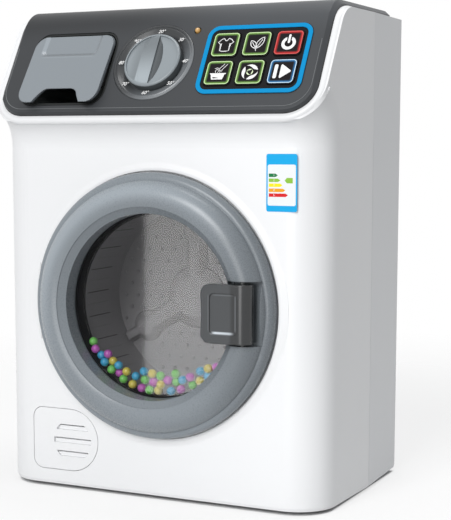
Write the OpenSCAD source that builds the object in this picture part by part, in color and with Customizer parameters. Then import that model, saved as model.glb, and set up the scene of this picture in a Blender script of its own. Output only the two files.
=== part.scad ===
// Toy washing machine with an opening door, a driven drum, a sliding drawer,
// a turning dial and six spring keys.
// Millimetres, +Z up, front of the machine towards -Y, origin under the middle
// of the whole part on the floor.

/* [Casing] */
// Width of the casing across the side seam
body_w = 240; // [225:1:255]
// Depth of the casing from the front face to the back wall
body_d = 150; // [145:1:165]
// Height of the white side walls above the floor
side_top = 317.5; // [310:0.5:325]
// Distance from the front face back to the seam of the two casing halves
seam_d = 84; // [82:1:90]
// Wall thickness of both casing halves
wall = 2.5; // [2:0.1:3]
// Radius of the two front upright corners
corner_r = 27; // [22:1:30]
// Radius of the two rear upright corners
rear_r = 4; // [2:0.5:8]
// Side draft of the front half at the front corners
front_draft = 1.5; // [0:0.1:3]
// Side draft of the rear half at the back wall
rear_draft = 2.6; // [0:0.1:3]
// Rounding of the bottom edges
base_round = 3.5; // [2:0.5:5]
// Gap under the casing that the rubber feet hold
foot_h = 1.5; // [1:0.5:4]
// Distance of a foot from the side wall and from the front and back faces
foot_in = 32; // [24:1:40]
// Distance of a screw post from the side wall
post_in = 16; // [14:0.5:18]
// Diameter of a rubber foot
foot_dia = 16; // [12:1:20]

/* [Chin and control panel] */
// How far the chin under the panel stands in front of the face
chin_out = 8.3; // [6:0.1:10]
// Height of the lower lip of the chin under the panel datum
chin_drop = 4.3; // [3:0.1:8]
// Turn of the hollow curve that leads from the face to the chin
chin_turn = 62; // [50:1:70]
// Depth of the rounded corner of the chin, front to back
chin_corner_b = 13.2; // [11:0.1:15]
// Slope of the control panel above the horizontal
panel_tilt = 59.5; // [56:0.5:63]
// Panel surface in front of the face at the panel datum height
panel_out = 9.8; // [9:0.1:10.5]
// Height of the side walls above the panel datum
panel_rise = 65.5; // [64:0.5:67.5]
// Height of the panel surface above the white rim, square to the panel
panel_proud = 3.5; // [3:0.1:4]
// White rim left of and right of the dark panel
panel_in = 6.6; // [6:0.1:12]
// Lower edge of the panel, measured up the slope
panel_s0 = 0.7; // [0:0.1:2]
// Radius of the two lower panel corners
panel_corner = 20; // [15:1:22]
// Width of the bevel round the panel
panel_bevel = 2.8; // [2:0.1:4]
// Radius of the roll-over from the slope to the top
roll_r = 24; // [20:1:26]
// Height of the dark top above the side walls
cover_proud = 5; // [3:0.5:10]
// Wall thickness of the dark panel and the top cover
panel_t = 3; // [2.5:0.1:3.5]
// Depth of the seat that the panel sinks into
seat_d = 1.2; // [0.8:0.1:1.4]
// Flat part of the top in front of the joint of panel and top cover
cover_lap = 0.56; // [0.3:0.02:4]
// Distance from the back wall to the rear end of the top cover
cover_back = 13; // [10:1:25]

/* [Door] */
// Door centre sideways from the middle of the casing
door_x = 2.4; // [0:0.1:3]
// Door centre above the floor
door_z = 128.5; // [124:0.5:132]
// Outer diameter of the door ring
door_dia = 172.8; // [168:0.2:174]
// Height of the ring crest in front of the face
crest_h = 17.6; // [16:0.2:19]
// Width of the ring from the clear window to its outer edge
ring_w = 26.1; // [25.4:0.1:27.4]
// Distance from the inner fold out to the highest line of the crest
crest_in = 5.3; // [4.5:0.1:6]
// Radius of the rounded crest in section
crest_r = 12.2; // [12:0.1:13]
// Radius of the rounded outer bead in section
bead_r = 4.2; // [3.5:0.1:4.5]
// Width of the inner slope between the window and the fold
slope_w = 4.4; // [3.8:0.1:5]
// Height at which the inner slope of the ring ends
slope_foot = 11.7; // [10:0.1:13]
// Thickness of the two clear discs
pane_t = 2; // [1.5:0.1:2.5]
// Clear depth of the bead chamber between the discs
chamber_d = 8; // [7:0.5:9]
// Depth of the round seat in the casing that the door closes into
door_seat = 2; // [1.5:0.1:2.5]
// Height of the raised lip round the door seat
lip_h = 1.3; // [0.8:0.1:1.5]
// Wall of the cup that holds both discs
cup_t = 3.4; // [3:0.1:3.6]
// Clearance round the cup in the opening of the casing
opening_clear = 5.3; // [4.5:0.1:6.5]
// Hinge axis inside the outer edge of the ring
hinge_in = 3.4; // [2.6:0.1:4]
// Hinge axis in front of the face
hinge_y = 4.5; // [4:0.1:5]
// Height of each hinge knuckle above and below the door centre
knuckle_z = 18; // [14:1:22]
// Diameter of the hinge pin
hinge_pin_dia = 2.5; // [2:0.1:3]

/* [Handle] */
// Width of the handle plate from its free edge to the barrel axis
handle_w = 25.5; // [22:0.5:28]
// Height of the handle
handle_h = 37; // [33:1:40]
// Front of the handle in front of the face
handle_out = 22; // [21:0.5:24]
// Radius of the barrel that the handle turns on
barrel_r = 7; // [6:0.5:7.5]
// Barrel axis inside the highest line of the crest
barrel_in = 1; // [0:0.1:2]
// Plate thickness
handle_t = 3.6; // [3:0.1:4.5]
// Diameter of the handle pin
handle_pin_dia = 3; // [2.5:0.1:3.5]

/* [Beads] */
// Diameter of a play bead
bead_dia = 5.8; // [5:0.1:6.4]

/* [Drum] */
// How much wider than the window the drum is, on the radius
drum_over = 1.7; // [0.5:0.1:2.5]
// Front edge of the drum behind the face
drum_y0 = 14; // [13.5:0.5:16]
// Depth of the drum
drum_d = 50; // [46:1:58]
// Drum wall thickness
drum_t = 2; // [1.6:0.1:2.4]
// Clearance round the drum in its tub
tub_clear = 3.5; // [2.5:0.1:4.5]
// Height of the three blades on the back of the drum
blade_h = 6; // [4:0.5:8]
// Radius at which a blade widens to its paddle
paddle_at = 44.3; // [38:0.1:47]
// Radius of a paddle at its foot
paddle_r = 11; // [8:0.5:12]
// Radius of the hub between the blades at its foot
hub_r = 22; // [18:0.5:24]
// Diameter of the drum shaft
shaft_dia = 8; // [6:0.5:9]
// Diameter of the drum pulley
pulley_dia = 48; // [40:1:52]
// Diameter of the motor pulley
motor_pulley_dia = 10; // [8:0.5:12]
// Distance between the pulley axes
pulley_gap = 46; // [44:1:50]
// Direction from drum axis to motor axis
motor_angle = 40; // [20:5:60]
// Diameter of the motor can
motor_dia = 24; // [20:1:26]
// Running clearance of a shaft in its bore, on the radius
shaft_clear = 0.05; // [0.02:0.01:0.1]

/* [Drawer] */
// Drawer centre from the middle of the panel
drawer_x = -65.2; // [-67:0.2:-64]
// Width of the drawer front
drawer_w = 60; // [56:0.5:60]
// Bottom of the drawer front above the panel datum
drawer_up = 7.8; // [7:0.1:9]
// Height of the drawer front
drawer_h = 44; // [42:0.5:44.5]
// Slope of the drawer front above the horizontal
drawer_tilt = 55.4; // [54:0.1:57]
// Front of the drawer in front of the face at its lower edge
drawer_out = 12; // [11:0.1:13]
// Thickness of the drawer front, front to back
drawer_t = 3; // [2.5:0.1:4]
// Width of the finger notch at its foot
notch_w = 36.4; // [30:0.5:38]
// Height of the finger notch
notch_h = 8.8; // [7:0.1:9.5]
// Width of the thumb recess at the upper edge of the drawer front
recess_w = 44; // [36:0.5:46]
// Length of the thumb recess down the slope
recess_l = 16.4; // [12:0.2:20]
// Depth of the thumb recess
recess_d = 1.4; // [0.8:0.1:1.6]
// Rear end of the tray behind the face
tray_y1 = 72; // [66:1:76]

/* [Dial] */
// Dial centre from the middle of the panel
dial_x = -3.2; // [-4:0.1:-2]
// Dial centre up the slope
dial_s = 38.2; // [36:0.1:40]
// Diameter of the dial surround
bezel_dia = 56.4; // [54:0.2:57]
// Diameter of the knob
knob_dia = 39.4; // [36:0.2:40]
// Height of the knob above the panel
knob_h = 3.2; // [2.5:0.1:5]
// Width of the rim round the knob face
knob_rim = 1.7; // [1.2:0.1:2.5]
// Depth of the dish beside the grip
knob_dish = 1.1; // [0.6:0.1:1.6]
// Ridge of the grip, sideways from the knob axis
ridge_x = 1.6; // [0:0.1:3]
// Width of the sloping grip left of its ridge
grip_w = 10.6; // [8:0.1:12]
// Width of the hollow that the fingers reach into right of the ridge
scoop_w = 5.2; // [4:0.1:6]
// Steepness of the grip wall in that hollow
scoop_tilt = 35; // [25:1:50]
// Diameter of the knob shaft
dial_shaft_dia = 8; // [6:0.5:9]

/* [Keys and lamp] */
// Key field centre from the middle of the panel
keys_x = 67.4; // [66:0.1:68]
// Key field centre up the slope
keys_s = 38.5; // [37:0.1:40]
// Key width
key_w = 18.3; // [16:0.1:18.6]
// Key height up the slope
key_h = 18; // [16:0.1:18.2]
// Space between two keys sideways
key_space = 3.2; // [2.8:0.1:3.6]
// Space between two keys up the slope
key_space_s = 2.8; // [2.6:0.1:3.2]
// Travel of a key
key_travel = 1; // [0.6:0.1:1.2]
// Clearance all round a key
key_gap = 0.35; // [0.3:0.05:0.5]
// Margin of the black plate left and right of the keys
key_rim = 2.2; // [1.6:0.1:2.4]
// Margin of the black plate below and above the keys
key_rim_s = 2.8; // [2:0.1:3]
// Band width of the blue key frame
frame_band = 2.9; // [2:0.1:3]
// Lamp position from the middle of the panel
lamp_x = 22.9; // [20:0.1:24]
// Lamp position up the slope
lamp_s = 61.2; // [60:0.1:63]
// Lamp diameter
lamp_dia = 3.6; // [3:0.1:5]

/* [Speaker grille] */
// Centre of the rounded end of the grille cover, sideways
vent_x = -62.6; // [-64:0.1:-60]
// Centre of the grille cover above the floor
vent_z = 33.9; // [32:0.1:36]
// Diameter of its rounded end
vent_dia = 42; // [38:0.5:44]
// Length of the straight part
vent_l = 29.3; // [26:0.1:30]
// Height of a grille slot
slot_h = 3.6; // [3:0.1:4]
// Pitch of the grille slots
slot_pitch = 9.1; // [8:0.1:10]
// Diameter of the speaker
speaker_dia = 36; // [30:1:40]

/* [Batteries] */
// Diameter of a battery cell
cell_dia = 14.2; // [14:0.1:14.5]
// Length of a battery cell
cell_l = 50; // [49:0.5:50.5]
// Number of cells
cell_n = 3; // [2:1:4]
// Height of the lowest cell above the floor
cell_z = 30; // [26:1:36]
// Battery door wider than the cells, at each end
bat_margin = 12; // [10:0.5:15]
// Diameter of a screw
screw_dia = 3; // [2.5:0.1:3.5]

/* [Hidden] */
$fn = 96;

eps = 0.01;
seam_gap = 0.2;
panel_gap = 0.25;
face_y = -(body_d - handle_out) / 2;
hw_seam = body_w / 2;
panel_w = body_w - 2 * panel_in;
panel_z = side_top - panel_rise;
cover_top = side_top + cover_proud;
chin_z = panel_z - chin_drop;
cover_y0 = (cover_top - panel_z) / tan(panel_tilt) - panel_out + roll_r * tan(panel_tilt / 2) + cover_lap;
cover_y1 = body_d - cover_back;
hw_front = hw_seam - front_draft;
hw_rear = hw_seam - rear_draft;
chin_r = chin_out / (1 - cos(chin_turn));
chin_z0 = chin_z - chin_r * sin(chin_turn);
chin_a = corner_r - 1;
chin_steps = 8;
arc_n = 12;
chord_grow = 0.06;
door_r = door_dia / 2;
window_r = door_r - ring_w;
fold_r = window_r + slope_w;
crest_at = fold_r + crest_in;
crest_c = crest_h - crest_r;
ring_t = 2.4;
opening_r = window_r + cup_t + opening_clear;
hinge_x = hinge_in - door_r;
barrel_x = crest_at - barrel_in;
seat_back = door_seat + wall + 0.5;
pane_y0 = -1.5;
chamber_y0 = pane_y0 + pane_t;
chamber_y1 = chamber_y0 + chamber_d;
door_back = chamber_y1 + pane_t;
barrel_y = handle_out - barrel_r;
slot_z = handle_h / 2 + 1.6;
slot_x0 = fold_r - 5;
slot_x1 = barrel_x + barrel_r + 3.6;
slot_floor = barrel_y - barrel_r - 0.5;
arm_x = barrel_x - 0.5;
arm_t = 3.2;
hook_l = 2.8;
keeper_y = seat_back;
keeper_h = 24;
hook_y = keeper_y + 1.5;
drum_r = window_r + drum_over;
tub_r = drum_r + drum_t + tub_clear;
drum_y1 = drum_y0 + drum_d;
tub_y1 = drum_y1 + 10;
pulley_y = tub_y1 + 14;
drawer_z0 = panel_z + drawer_up;
drawer_zc = drawer_z0 + drawer_h / 2;
tray_w = drawer_w - 6;
tray_zb = drawer_zc - drawer_h / 2 + 12.5;
knob_r = knob_dia / 2;
ridge_l = 2 * sqrt(pow(knob_r - knob_rim - 0.4, 2) - ridge_x * ridge_x);
scoop_r = (ridge_l * ridge_l / 4 + scoop_w * scoop_w) / (2 * scoop_w);
key_px = key_w + key_space;
key_ps = key_h + key_space_s;
frame_w = 2 * key_px + key_w + 2 * (frame_band + key_rim);
frame_h = key_ps + key_h + 2 * (frame_band + key_rim_s);
bat_door_w = cell_l + 2 * bat_margin;
vent_wall = 2.4;
bat_y = body_d - wall;
bat_z1 = cell_z + (cell_n - 1) * (cell_dia + 0.6);
bat_zc = (cell_z + bat_z1) / 2;
bat_h = bat_z1 - cell_z + cell_dia + 1.2;
bat_door_h = bat_h + 14;
key_names = [[-1, 1], [0, 1], [1, 1], [-1, -1], [0, -1], [1, -1]];
board_edge = 3;
board_posts_x = [lamp_x + 8, keys_x + frame_w / 2 - 4.25];
board_posts_s = [keys_s - frame_h / 2 - 3.4, keys_s + frame_h / 2 + 3.4];
post_x = hw_seam - post_in;
post_r = 4;
post_y0 = corner_r - sqrt(pow(corner_r - 0.3 * wall, 2) - pow(post_x + post_r - hw_front + corner_r, 2));
posts = [for (z = [foot_h + 24.5, door_z + 21.5, panel_z - 20], sx = [-1, 1]) [sx * post_x, z]];

// ---------------------------------------------------------------- frames
// Body frame: y = 0 on the front face of the casing.
module on_face() translate([0, face_y, 0]) children();

// Panel frame: x across, y up the slope, z square out of the panel surface.
module on_panel(x = 0, s = 0, off = 0)
    on_face() translate([x, -panel_out, panel_z]) rotate([panel_tilt, 0, 0])
        translate([0, s, off]) children();

// Door frame: x across, y up, z forwards from the face, origin at the door centre.
module on_door(x = 0, z = 0, out = 0)
    on_face() translate([door_x + x, -out, door_z + z]) rotate([90, 0, 0]) children();

// Extrudes a (y, z) section across the body, centred.
module across(w) translate([-w / 2, 0, 0]) rotate([90, 0, 90]) linear_extrude(w) children();

module box(x0, x1, y0, y1, z0, z1)
    translate([x0, y0, z0]) cube([x1 - x0, y1 - y0, z1 - z0]);

module rounded(w, h, r) {
    square([w - 2 * r, h], center = true);
    square([w, h - 2 * r], center = true);
    for (sx = [-1, 1], sy = [-1, 1])
        translate([sx * (w / 2 - r), sy * (h / 2 - r)]) circle(r);
}

module tube(r1, r0, h) difference() {
    cylinder(r = r1, h = h);
    translate([0, 0, -1]) cylinder(r = r0, h = h + 2);
}

// ---------------------------------------------------------------- casing
function arc(c, a, b, t0, t1, n) =
    [for (i = [0:n]) let (t = t0 + (t1 - t0) * i / n) [c[0] + a * cos(t), c[1] + b * sin(t)]];

// Plan outline of the front half with its front at yf and corner half axes a, b.
function plan(yf, a, b, inset = 0, back = 0) = concat(
    [[hw_seam - inset, seam_d + back]],
    arc([hw_front - a, yf + b], a - inset, b - inset, 0, -90, arc_n),
    arc([a - hw_front, yf + b], a - inset, b - inset, -90, -180, arc_n),
    [[inset - hw_seam, seam_d + back]]);

// Section of the body in front of which the panel lies: slope, roll-over, top.
module slope_section(off, ztop, r) {
    sa = (ztop - panel_z - off * cos(panel_tilt)) / sin(panel_tilt);
    ya = sa * cos(panel_tilt) - panel_out - off * sin(panel_tilt);
    l = r * tan(panel_tilt / 2);
    s0 = -60;
    y0 = s0 * cos(panel_tilt) - panel_out - off * sin(panel_tilt);
    z0 = panel_z + s0 * sin(panel_tilt) + off * cos(panel_tilt);
    polygon([[y0, z0], [ya - l * cos(panel_tilt), ztop - l * sin(panel_tilt)],
        [ya + l, ztop - 1.4 * r], [ya + l, ztop], [body_d + 20, ztop], [body_d + 20, z0]]);
    translate([ya + l, ztop - r]) circle(r);
}

// Outline of the panel in its own plane, open upwards.
module panel_outline(w, s0, r, s1 = 130) {
    translate([-w / 2, s0 + r]) square([w, s1 - s0 - r]);
    translate([r - w / 2, s0]) square([w - 2 * r, s1 - s0]);
    for (sx = [-1, 1]) translate([sx * (w / 2 - r), s0 + r]) circle(r);
}

// The hollow curve under the chin, lofted from the face corners to the chin corners.
module chin_loft(inset, back) {
    n = len(plan(0, 1, 1));
    rows = [for (k = [0:chin_steps]) let (u = k / chin_steps, t = chin_turn * u)
        [for (p = plan(-chin_r * (1 - cos(t)), corner_r + (chin_a - corner_r) * u,
                corner_r + (chin_corner_b - corner_r) * u * u, inset - chord_grow, back))
            [p[0], p[1], chin_z0 + chin_r * sin(t)]]];
    pts = [for (r = rows) for (p = r) p];
    polyhedron(pts, concat(
        [for (k = [0:chin_steps - 1], i = [0:n - 1]) let (j = (i + 1) % n)
            [k * n + i, k * n + j, (k + 1) * n + j]],
        [for (k = [0:chin_steps - 1], i = [0:n - 1]) let (j = (i + 1) % n)
            [k * n + i, (k + 1) * n + j, (k + 1) * n + i]],
        [[for (i = [n - 1:-1:0]) i]],
        [[for (i = [0:n - 1]) chin_steps * n + i]]));
}

module lower_plan(inset = 0, back = 0) {
    polygon([[hw_seam - inset, seam_d + back], [hw_front - inset, corner_r],
        [inset - hw_front, corner_r], [inset - hw_seam, seam_d + back]]);
    translate([corner_r - hw_front, inset])
        square([2 * (hw_front - corner_r), corner_r]);
    for (sx = [-1, 1]) translate([sx * (hw_front - corner_r), corner_r])
        circle(corner_r - inset);
}

module front_envelope(inset, back, z0) {
    z_start = inset > 0 ? z0 : foot_h + base_round - 0.4;
    translate([0, 0, z_start]) linear_extrude(chin_z0 + 0.5 - z_start) lower_plan(inset, back);
    chin_loft(inset, back);
    intersection() {
        translate([0, 0, chin_z - eps]) linear_extrude(side_top - chin_z + 1)
            polygon(plan(-chin_out, chin_a, chin_corner_b, inset - chord_grow, back));
        across(body_w + 4)
            slope_section(-panel_proud - inset, side_top - inset, roll_r - panel_proud - inset);
    }
}

module front_base() hull() {
    translate([0, 0, foot_h]) linear_extrude(0.1)
        polygon(plan(base_round * 0.8, corner_r, corner_r, base_round * 0.8));
    translate([0, 0, foot_h + base_round * 0.35]) linear_extrude(0.1)
        polygon(plan(0, corner_r, corner_r, base_round * 0.2));
    translate([0, 0, foot_h + base_round]) linear_extrude(0.1)
        polygon(plan(0, corner_r, corner_r, -chord_grow));
}

// Long screw post from the front wall to the seam.
module post(y0, y1, r) rotate([-90, 0, 0]) translate([0, 0, y0]) cylinder(r = r, h = y1 - y0);

module vent_outline(grow = 0) {
    r = 7 + grow;
    translate([vent_x, vent_z]) circle(vent_dia / 2 + grow);
    translate([vent_x - vent_l + r - grow, vent_z - vent_dia / 2 - grow])
        square([vent_l - r + grow, vent_dia + 2 * grow]);
    translate([vent_x - vent_l - grow, vent_z - vent_dia / 2 - grow + r])
        square([r + eps, vent_dia + 2 * grow - 2 * r]);
    for (sz = [-1, 1]) translate([vent_x - vent_l - grow + r,
            vent_z + sz * (vent_dia / 2 + grow - r)]) circle(r);
}

module front_wall_cut(y0, y1) translate([0, y1, 0]) rotate([90, 0, 0])
    linear_extrude(y1 - y0) children();

module front_casing() color("White") on_face() difference() {
    union() {
        difference() {
            union() { front_base(); front_envelope(0, 0, 0); }
            front_envelope(wall, 1, foot_h + wall);
        }
        // thicker ring behind the door seat, and its raised lip
        translate([door_x, 0, door_z]) rotate([-90, 0, 0])
            translate([0, 0, 0.5]) tube(door_r + 4, opening_r, seat_back - 0.5);
        translate([door_x, 0, door_z]) rotate([90, 0, 0]) rotate_extrude()
            polygon([[door_r + 1, -1], [door_r + 1, lip_h * 0.8], [door_r + 2, lip_h],
                [door_r + 3.2, lip_h * 0.9], [door_r + 5, lip_h * 0.4],
                [door_r + 7, 0], [door_r + 7, -1]]);
        // ledge ring round the grille cover
        front_wall_cut(vent_wall - 0.2, vent_wall + 2) vent_outline(2.5);
        for (p = posts) translate([p[0], 0, p[1]]) post(post_y0, seam_d - 4.3, post_r);
        // ribs that stiffen the front wall above and below the door
        for (sx = [-1, 1]) box(sx * 60 - 1, sx * 60 + 1, wall - 0.5, 12, door_z + door_r + 7,
            chin_z - 7.7);
    }
    // seat for the panel, then the opening behind it
    intersection() {
        on_panel_local(-60) linear_extrude(90)
            panel_outline(panel_w + 2 * panel_gap, panel_s0 - panel_gap, panel_corner);
        difference() {
            across(body_w + 4) slope_section(10, side_top + 20, roll_r);
            across(body_w + 6)
                slope_section(-panel_proud - seat_d, side_top - seat_d, roll_r - panel_proud - seat_d);
        }
    }
    intersection() {
        on_panel_local(-60) linear_extrude(90)
            panel_outline(panel_w - 8, panel_s0 + 4.5, panel_corner - 4);
        box(-hw_seam, hw_seam, -40, cover_y0 - 2, panel_z - 10, side_top + 5);
    }
    box(-panel_w / 2 - panel_gap, panel_w / 2 + panel_gap, cover_y0 - 3, seam_d + 1,
        side_top - seat_d, side_top + 5);
    // door opening and seat
    translate([door_x, 0, door_z]) rotate([-90, 0, 0]) {
        translate([0, 0, -1]) cylinder(r = opening_r, h = 20);
        translate([0, 0, -3]) cylinder(r = door_r + 1, h = 3 + door_seat);
    }
    // slots for the hinge knuckles and the latch
    for (sz = [-1, 1]) box(door_x + hinge_x - 3.2, door_x + hinge_x + 3.2, 0, 8,
        door_z + sz * knuckle_z - 3.4, door_z + sz * knuckle_z + 3.4);
    box(door_x + barrel_x - 7, door_x + arm_x + arm_t + hook_l + 0.6, -1, 12,
        door_z - 5.5, door_z + 5.5);
    // grille cover pocket
    front_wall_cut(-1, vent_wall) vent_outline(0.35);
    front_wall_cut(-1, 9) vent_outline(-2);
    for (p = posts) translate([p[0], 0, p[1]]) post(seam_d - 26, seam_d, screw_dia / 2 - 0.15);
}

module on_panel_local(off) translate([0, -panel_out, panel_z]) rotate([panel_tilt, 0, 0])
    translate([0, 0, off]) children();

function rear_plan(inset) = concat(
    [[inset - hw_seam, seam_d + seam_gap], [hw_seam - inset, seam_d + seam_gap]],
    arc([hw_rear - rear_r, body_d - rear_r], rear_r - inset, rear_r - inset, 0, 90, 6),
    arc([rear_r - hw_rear, body_d - rear_r], rear_r - inset, rear_r - inset, 90, 180, 6));

// Block across the seam, inset from the outer skin.
module seam_box(inset, y0, y1) box(inset - hw_seam, hw_seam - inset, y0, y1,
    foot_h + inset, side_top - inset);

module rear_casing() color("WhiteSmoke") on_face() difference() {
    union() {
        difference() {
            hull() {
                translate([0, 0, foot_h]) linear_extrude(0.1) polygon(rear_plan(base_round * 0.8));
                translate([0, 0, foot_h + base_round * 0.35]) linear_extrude(0.1)
                    polygon(rear_plan(base_round * 0.2));
                translate([0, 0, foot_h + base_round])
                    linear_extrude(side_top - foot_h - base_round) polygon(rear_plan(0));
            }
            translate([0, -1, foot_h + wall]) linear_extrude(side_top - foot_h - 2 * wall)
                polygon([[wall - hw_seam, seam_d], [hw_seam - wall, seam_d],
                    [hw_rear - wall, body_d + 1 - wall], [wall - hw_rear, body_d + 1 - wall]]);
        }
        for (p = posts) translate([p[0], 0, p[1]]) post(seam_d + seam_gap, body_d - 1, post_r + 0.5);
        // tongue that keys into the front half
        difference() {
            union() {
                seam_box(wall + 0.3, seam_d - 4, seam_d + 3);
                seam_box(wall - 0.6, seam_d + seam_gap, seam_d + 3);
            }
            seam_box(wall + 1.9, seam_d - 5, seam_d + 4);
        }
        // frame round the battery door
        box(-bat_door_w / 2 - 2, bat_door_w / 2 + 2, bat_y - 2, bat_y + 1,
            bat_zc - bat_door_h / 2 - 2, bat_zc + bat_door_h / 2 + 2);
    }
    box(-panel_w / 2 - panel_gap, panel_w / 2 + panel_gap, seam_d - 1, cover_y1 + panel_gap,
        side_top - seat_d, side_top + 5);
    for (p = posts) translate([p[0], 0, p[1]]) {
        post(seam_d - 1, body_d - 20, screw_dia / 2 + 0.2);
        post(body_d - 21, body_d + 1, 3.2);
    }
    // opening for the battery door, stepped so that the door rests on it
    box(-bat_door_w / 2 - 0.3, bat_door_w / 2 + 0.3, body_d - 2.2, body_d + 1,
        bat_zc - bat_door_h / 2 - 0.3, bat_zc + bat_door_h / 2 + 0.3);
    box(-bat_door_w / 2 + 3, bat_door_w / 2 - 3, bat_y - 5, body_d + 1,
        bat_zc - bat_h / 2, bat_zc + bat_h / 2);
    translate([0, 0, bat_zc + bat_h / 2 + 3.8]) post(bat_y - 5, body_d, screw_dia / 2 - 0.15);
}

module control_fascia() color("DimGray") on_face() difference() {
    union() {
        difference() {
            intersection() {
                hull() {
                    across(panel_w) slope_section(-panel_bevel, cover_top - panel_bevel,
                        roll_r - panel_bevel);
                    across(panel_w - 2 * panel_bevel) slope_section(0, cover_top, roll_r);
                }
                hull() {
                    on_panel_local(-60) linear_extrude(60 - panel_bevel)
                        panel_outline(panel_w, panel_s0, panel_corner);
                    on_panel_local(-0.1) linear_extrude(8)
                        panel_outline(panel_w - 2 * panel_bevel, panel_s0 + panel_bevel,
                            panel_corner - panel_bevel);
                }
                box(-hw_seam, hw_seam, -30, cover_y0 - 0.15, panel_z - 20, cover_top + 5);
            }
            intersection() {
                across(panel_w - 2 * panel_t)
                    slope_section(-panel_t, cover_top - panel_t, roll_r - panel_t);
                on_panel_local(-70) linear_extrude(90)
                    panel_outline(panel_w - 2 * panel_t, panel_s0 + panel_t,
                        panel_corner - panel_t);
            }
            across(body_w) slope_section(-panel_proud - seat_d, side_top - seat_d,
                roll_r - panel_proud - seat_d);
        }
        // posts that carry the circuit board
        for (x = board_posts_x, s = board_posts_s)
            on_panel_local(-14.4) translate([x, s, 0]) cylinder(d = 6, h = 13);
    }
    drawer_outline_cut(2.1);
    on_panel_local(-10) translate([dial_x, dial_s, 0]) cylinder(r = bezel_dia / 2 - 2, h = 20);
    on_panel_local(-1.2) translate([dial_x, dial_s, 0]) cylinder(r = bezel_dia / 2 + 0.15, h = 9);
    on_panel_local(-10) translate([keys_x, keys_s, 0]) linear_extrude(20)
        rounded(frame_w - 2 * frame_band + 0.4, frame_h - 2 * frame_band + 0.4, 5);
    on_panel_local(-10) translate([lamp_x, lamp_s, 0]) cylinder(d = lamp_dia + 1.2, h = 20);
}

module top_cover() color("DimGray") on_face() difference() {
    hull() {
        box(-panel_w / 2, panel_w / 2, cover_y0 + 0.15, cover_y1 - 8, side_top - seat_d,
            cover_top - panel_bevel);
        for (sx = [-1, 1]) translate([sx * (panel_w / 2 - 5), cover_y1 - 5, side_top - seat_d])
            cylinder(r = 5, h = cover_top - panel_bevel - side_top + seat_d, $fn = 32);
        box(-panel_w / 2 + panel_bevel, panel_w / 2 - panel_bevel, cover_y0 + 0.15,
            cover_y1 - panel_bevel - 3, cover_top - 0.1, cover_top);
        box(-panel_w / 2 + panel_bevel + 3, panel_w / 2 - panel_bevel - 3, cover_y0 + 0.15,
            cover_y1 - panel_bevel, cover_top - 0.1, cover_top);
    }
    box(-panel_w / 2 + panel_t, panel_w / 2 - panel_t, cover_y0 + panel_t,
        cover_y1 - panel_t, side_top - seat_d - 1, cover_top - panel_t);
    // open towards the panel so that both make one smooth shell
    box(-panel_w / 2 + panel_t, panel_w / 2 - panel_t, cover_y0 - 1, cover_y0 + panel_t + 1,
        side_top - seat_d - 1, cover_top - panel_t);
}

module vent_cover() color("White") on_face() difference() {
    union() {
        front_wall_cut(0, vent_wall - 0.1) vent_outline(0);
        front_wall_cut(vent_wall - 0.5, vent_wall + 2) vent_outline(-2.3);
    }
    for (k = [-1:1]) intersection() {
        translate([vent_x + 1.2, 0, vent_z - 0.5]) rotate([-90, 0, 0])
            translate([0, 0, -1]) cylinder(r = 14.4, h = 12);
        union() {
            box(-100, 0, -1, 1.6, vent_z - 0.5 + k * slot_pitch - slot_h / 2,
                vent_z - 0.5 + k * slot_pitch + slot_h / 2);
            box(-100, 0, -1, 9, vent_z - 0.5 + k * slot_pitch + slot_h / 2 - 0.9,
                vent_z - 0.5 + k * slot_pitch + slot_h / 2);
        }
    }
}

module feet() color("DarkSlateGray") on_face()
    for (x = [foot_in - hw_seam, hw_seam - foot_in], y = [foot_in - 2, body_d - foot_in + 7])
        translate([x, y, 0]) cylinder(d = foot_dia, h = foot_h);

module casing_screws() color("Silver") on_face() for (p = posts)
    translate([p[0], 0, p[1]]) {
        post(seam_d - 16, body_d - 20 + eps, screw_dia / 2 - 0.15);
        difference() {
            post(body_d - 20, body_d - 17.4, 2.8);
            for (a = [0, 90]) rotate([0, a, 0]) translate([-1.7, body_d - 18.6, -0.35])
                cube([3.4, 2, 0.7]);
        }
    }

// ---------------------------------------------------------------- door
module ring_section() {
    union() {
        translate([door_r - bead_r, bead_r + 0.3]) circle(bead_r);
        intersection() {
            translate([crest_at, crest_c]) circle(crest_r);
            translate([fold_r, 0]) square([20, crest_h + 5]);
        }
        polygon([[window_r, 0], [door_r - 1, 0], [door_r, 1], [door_r, bead_r + 0.3],
            [door_r - bead_r, bead_r + 2], [crest_at, crest_c + 2], [fold_r + 0.6, crest_h - 1.5],
            [fold_r, crest_h - 1.6], [window_r, slope_foot]]);
    }
}

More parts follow.
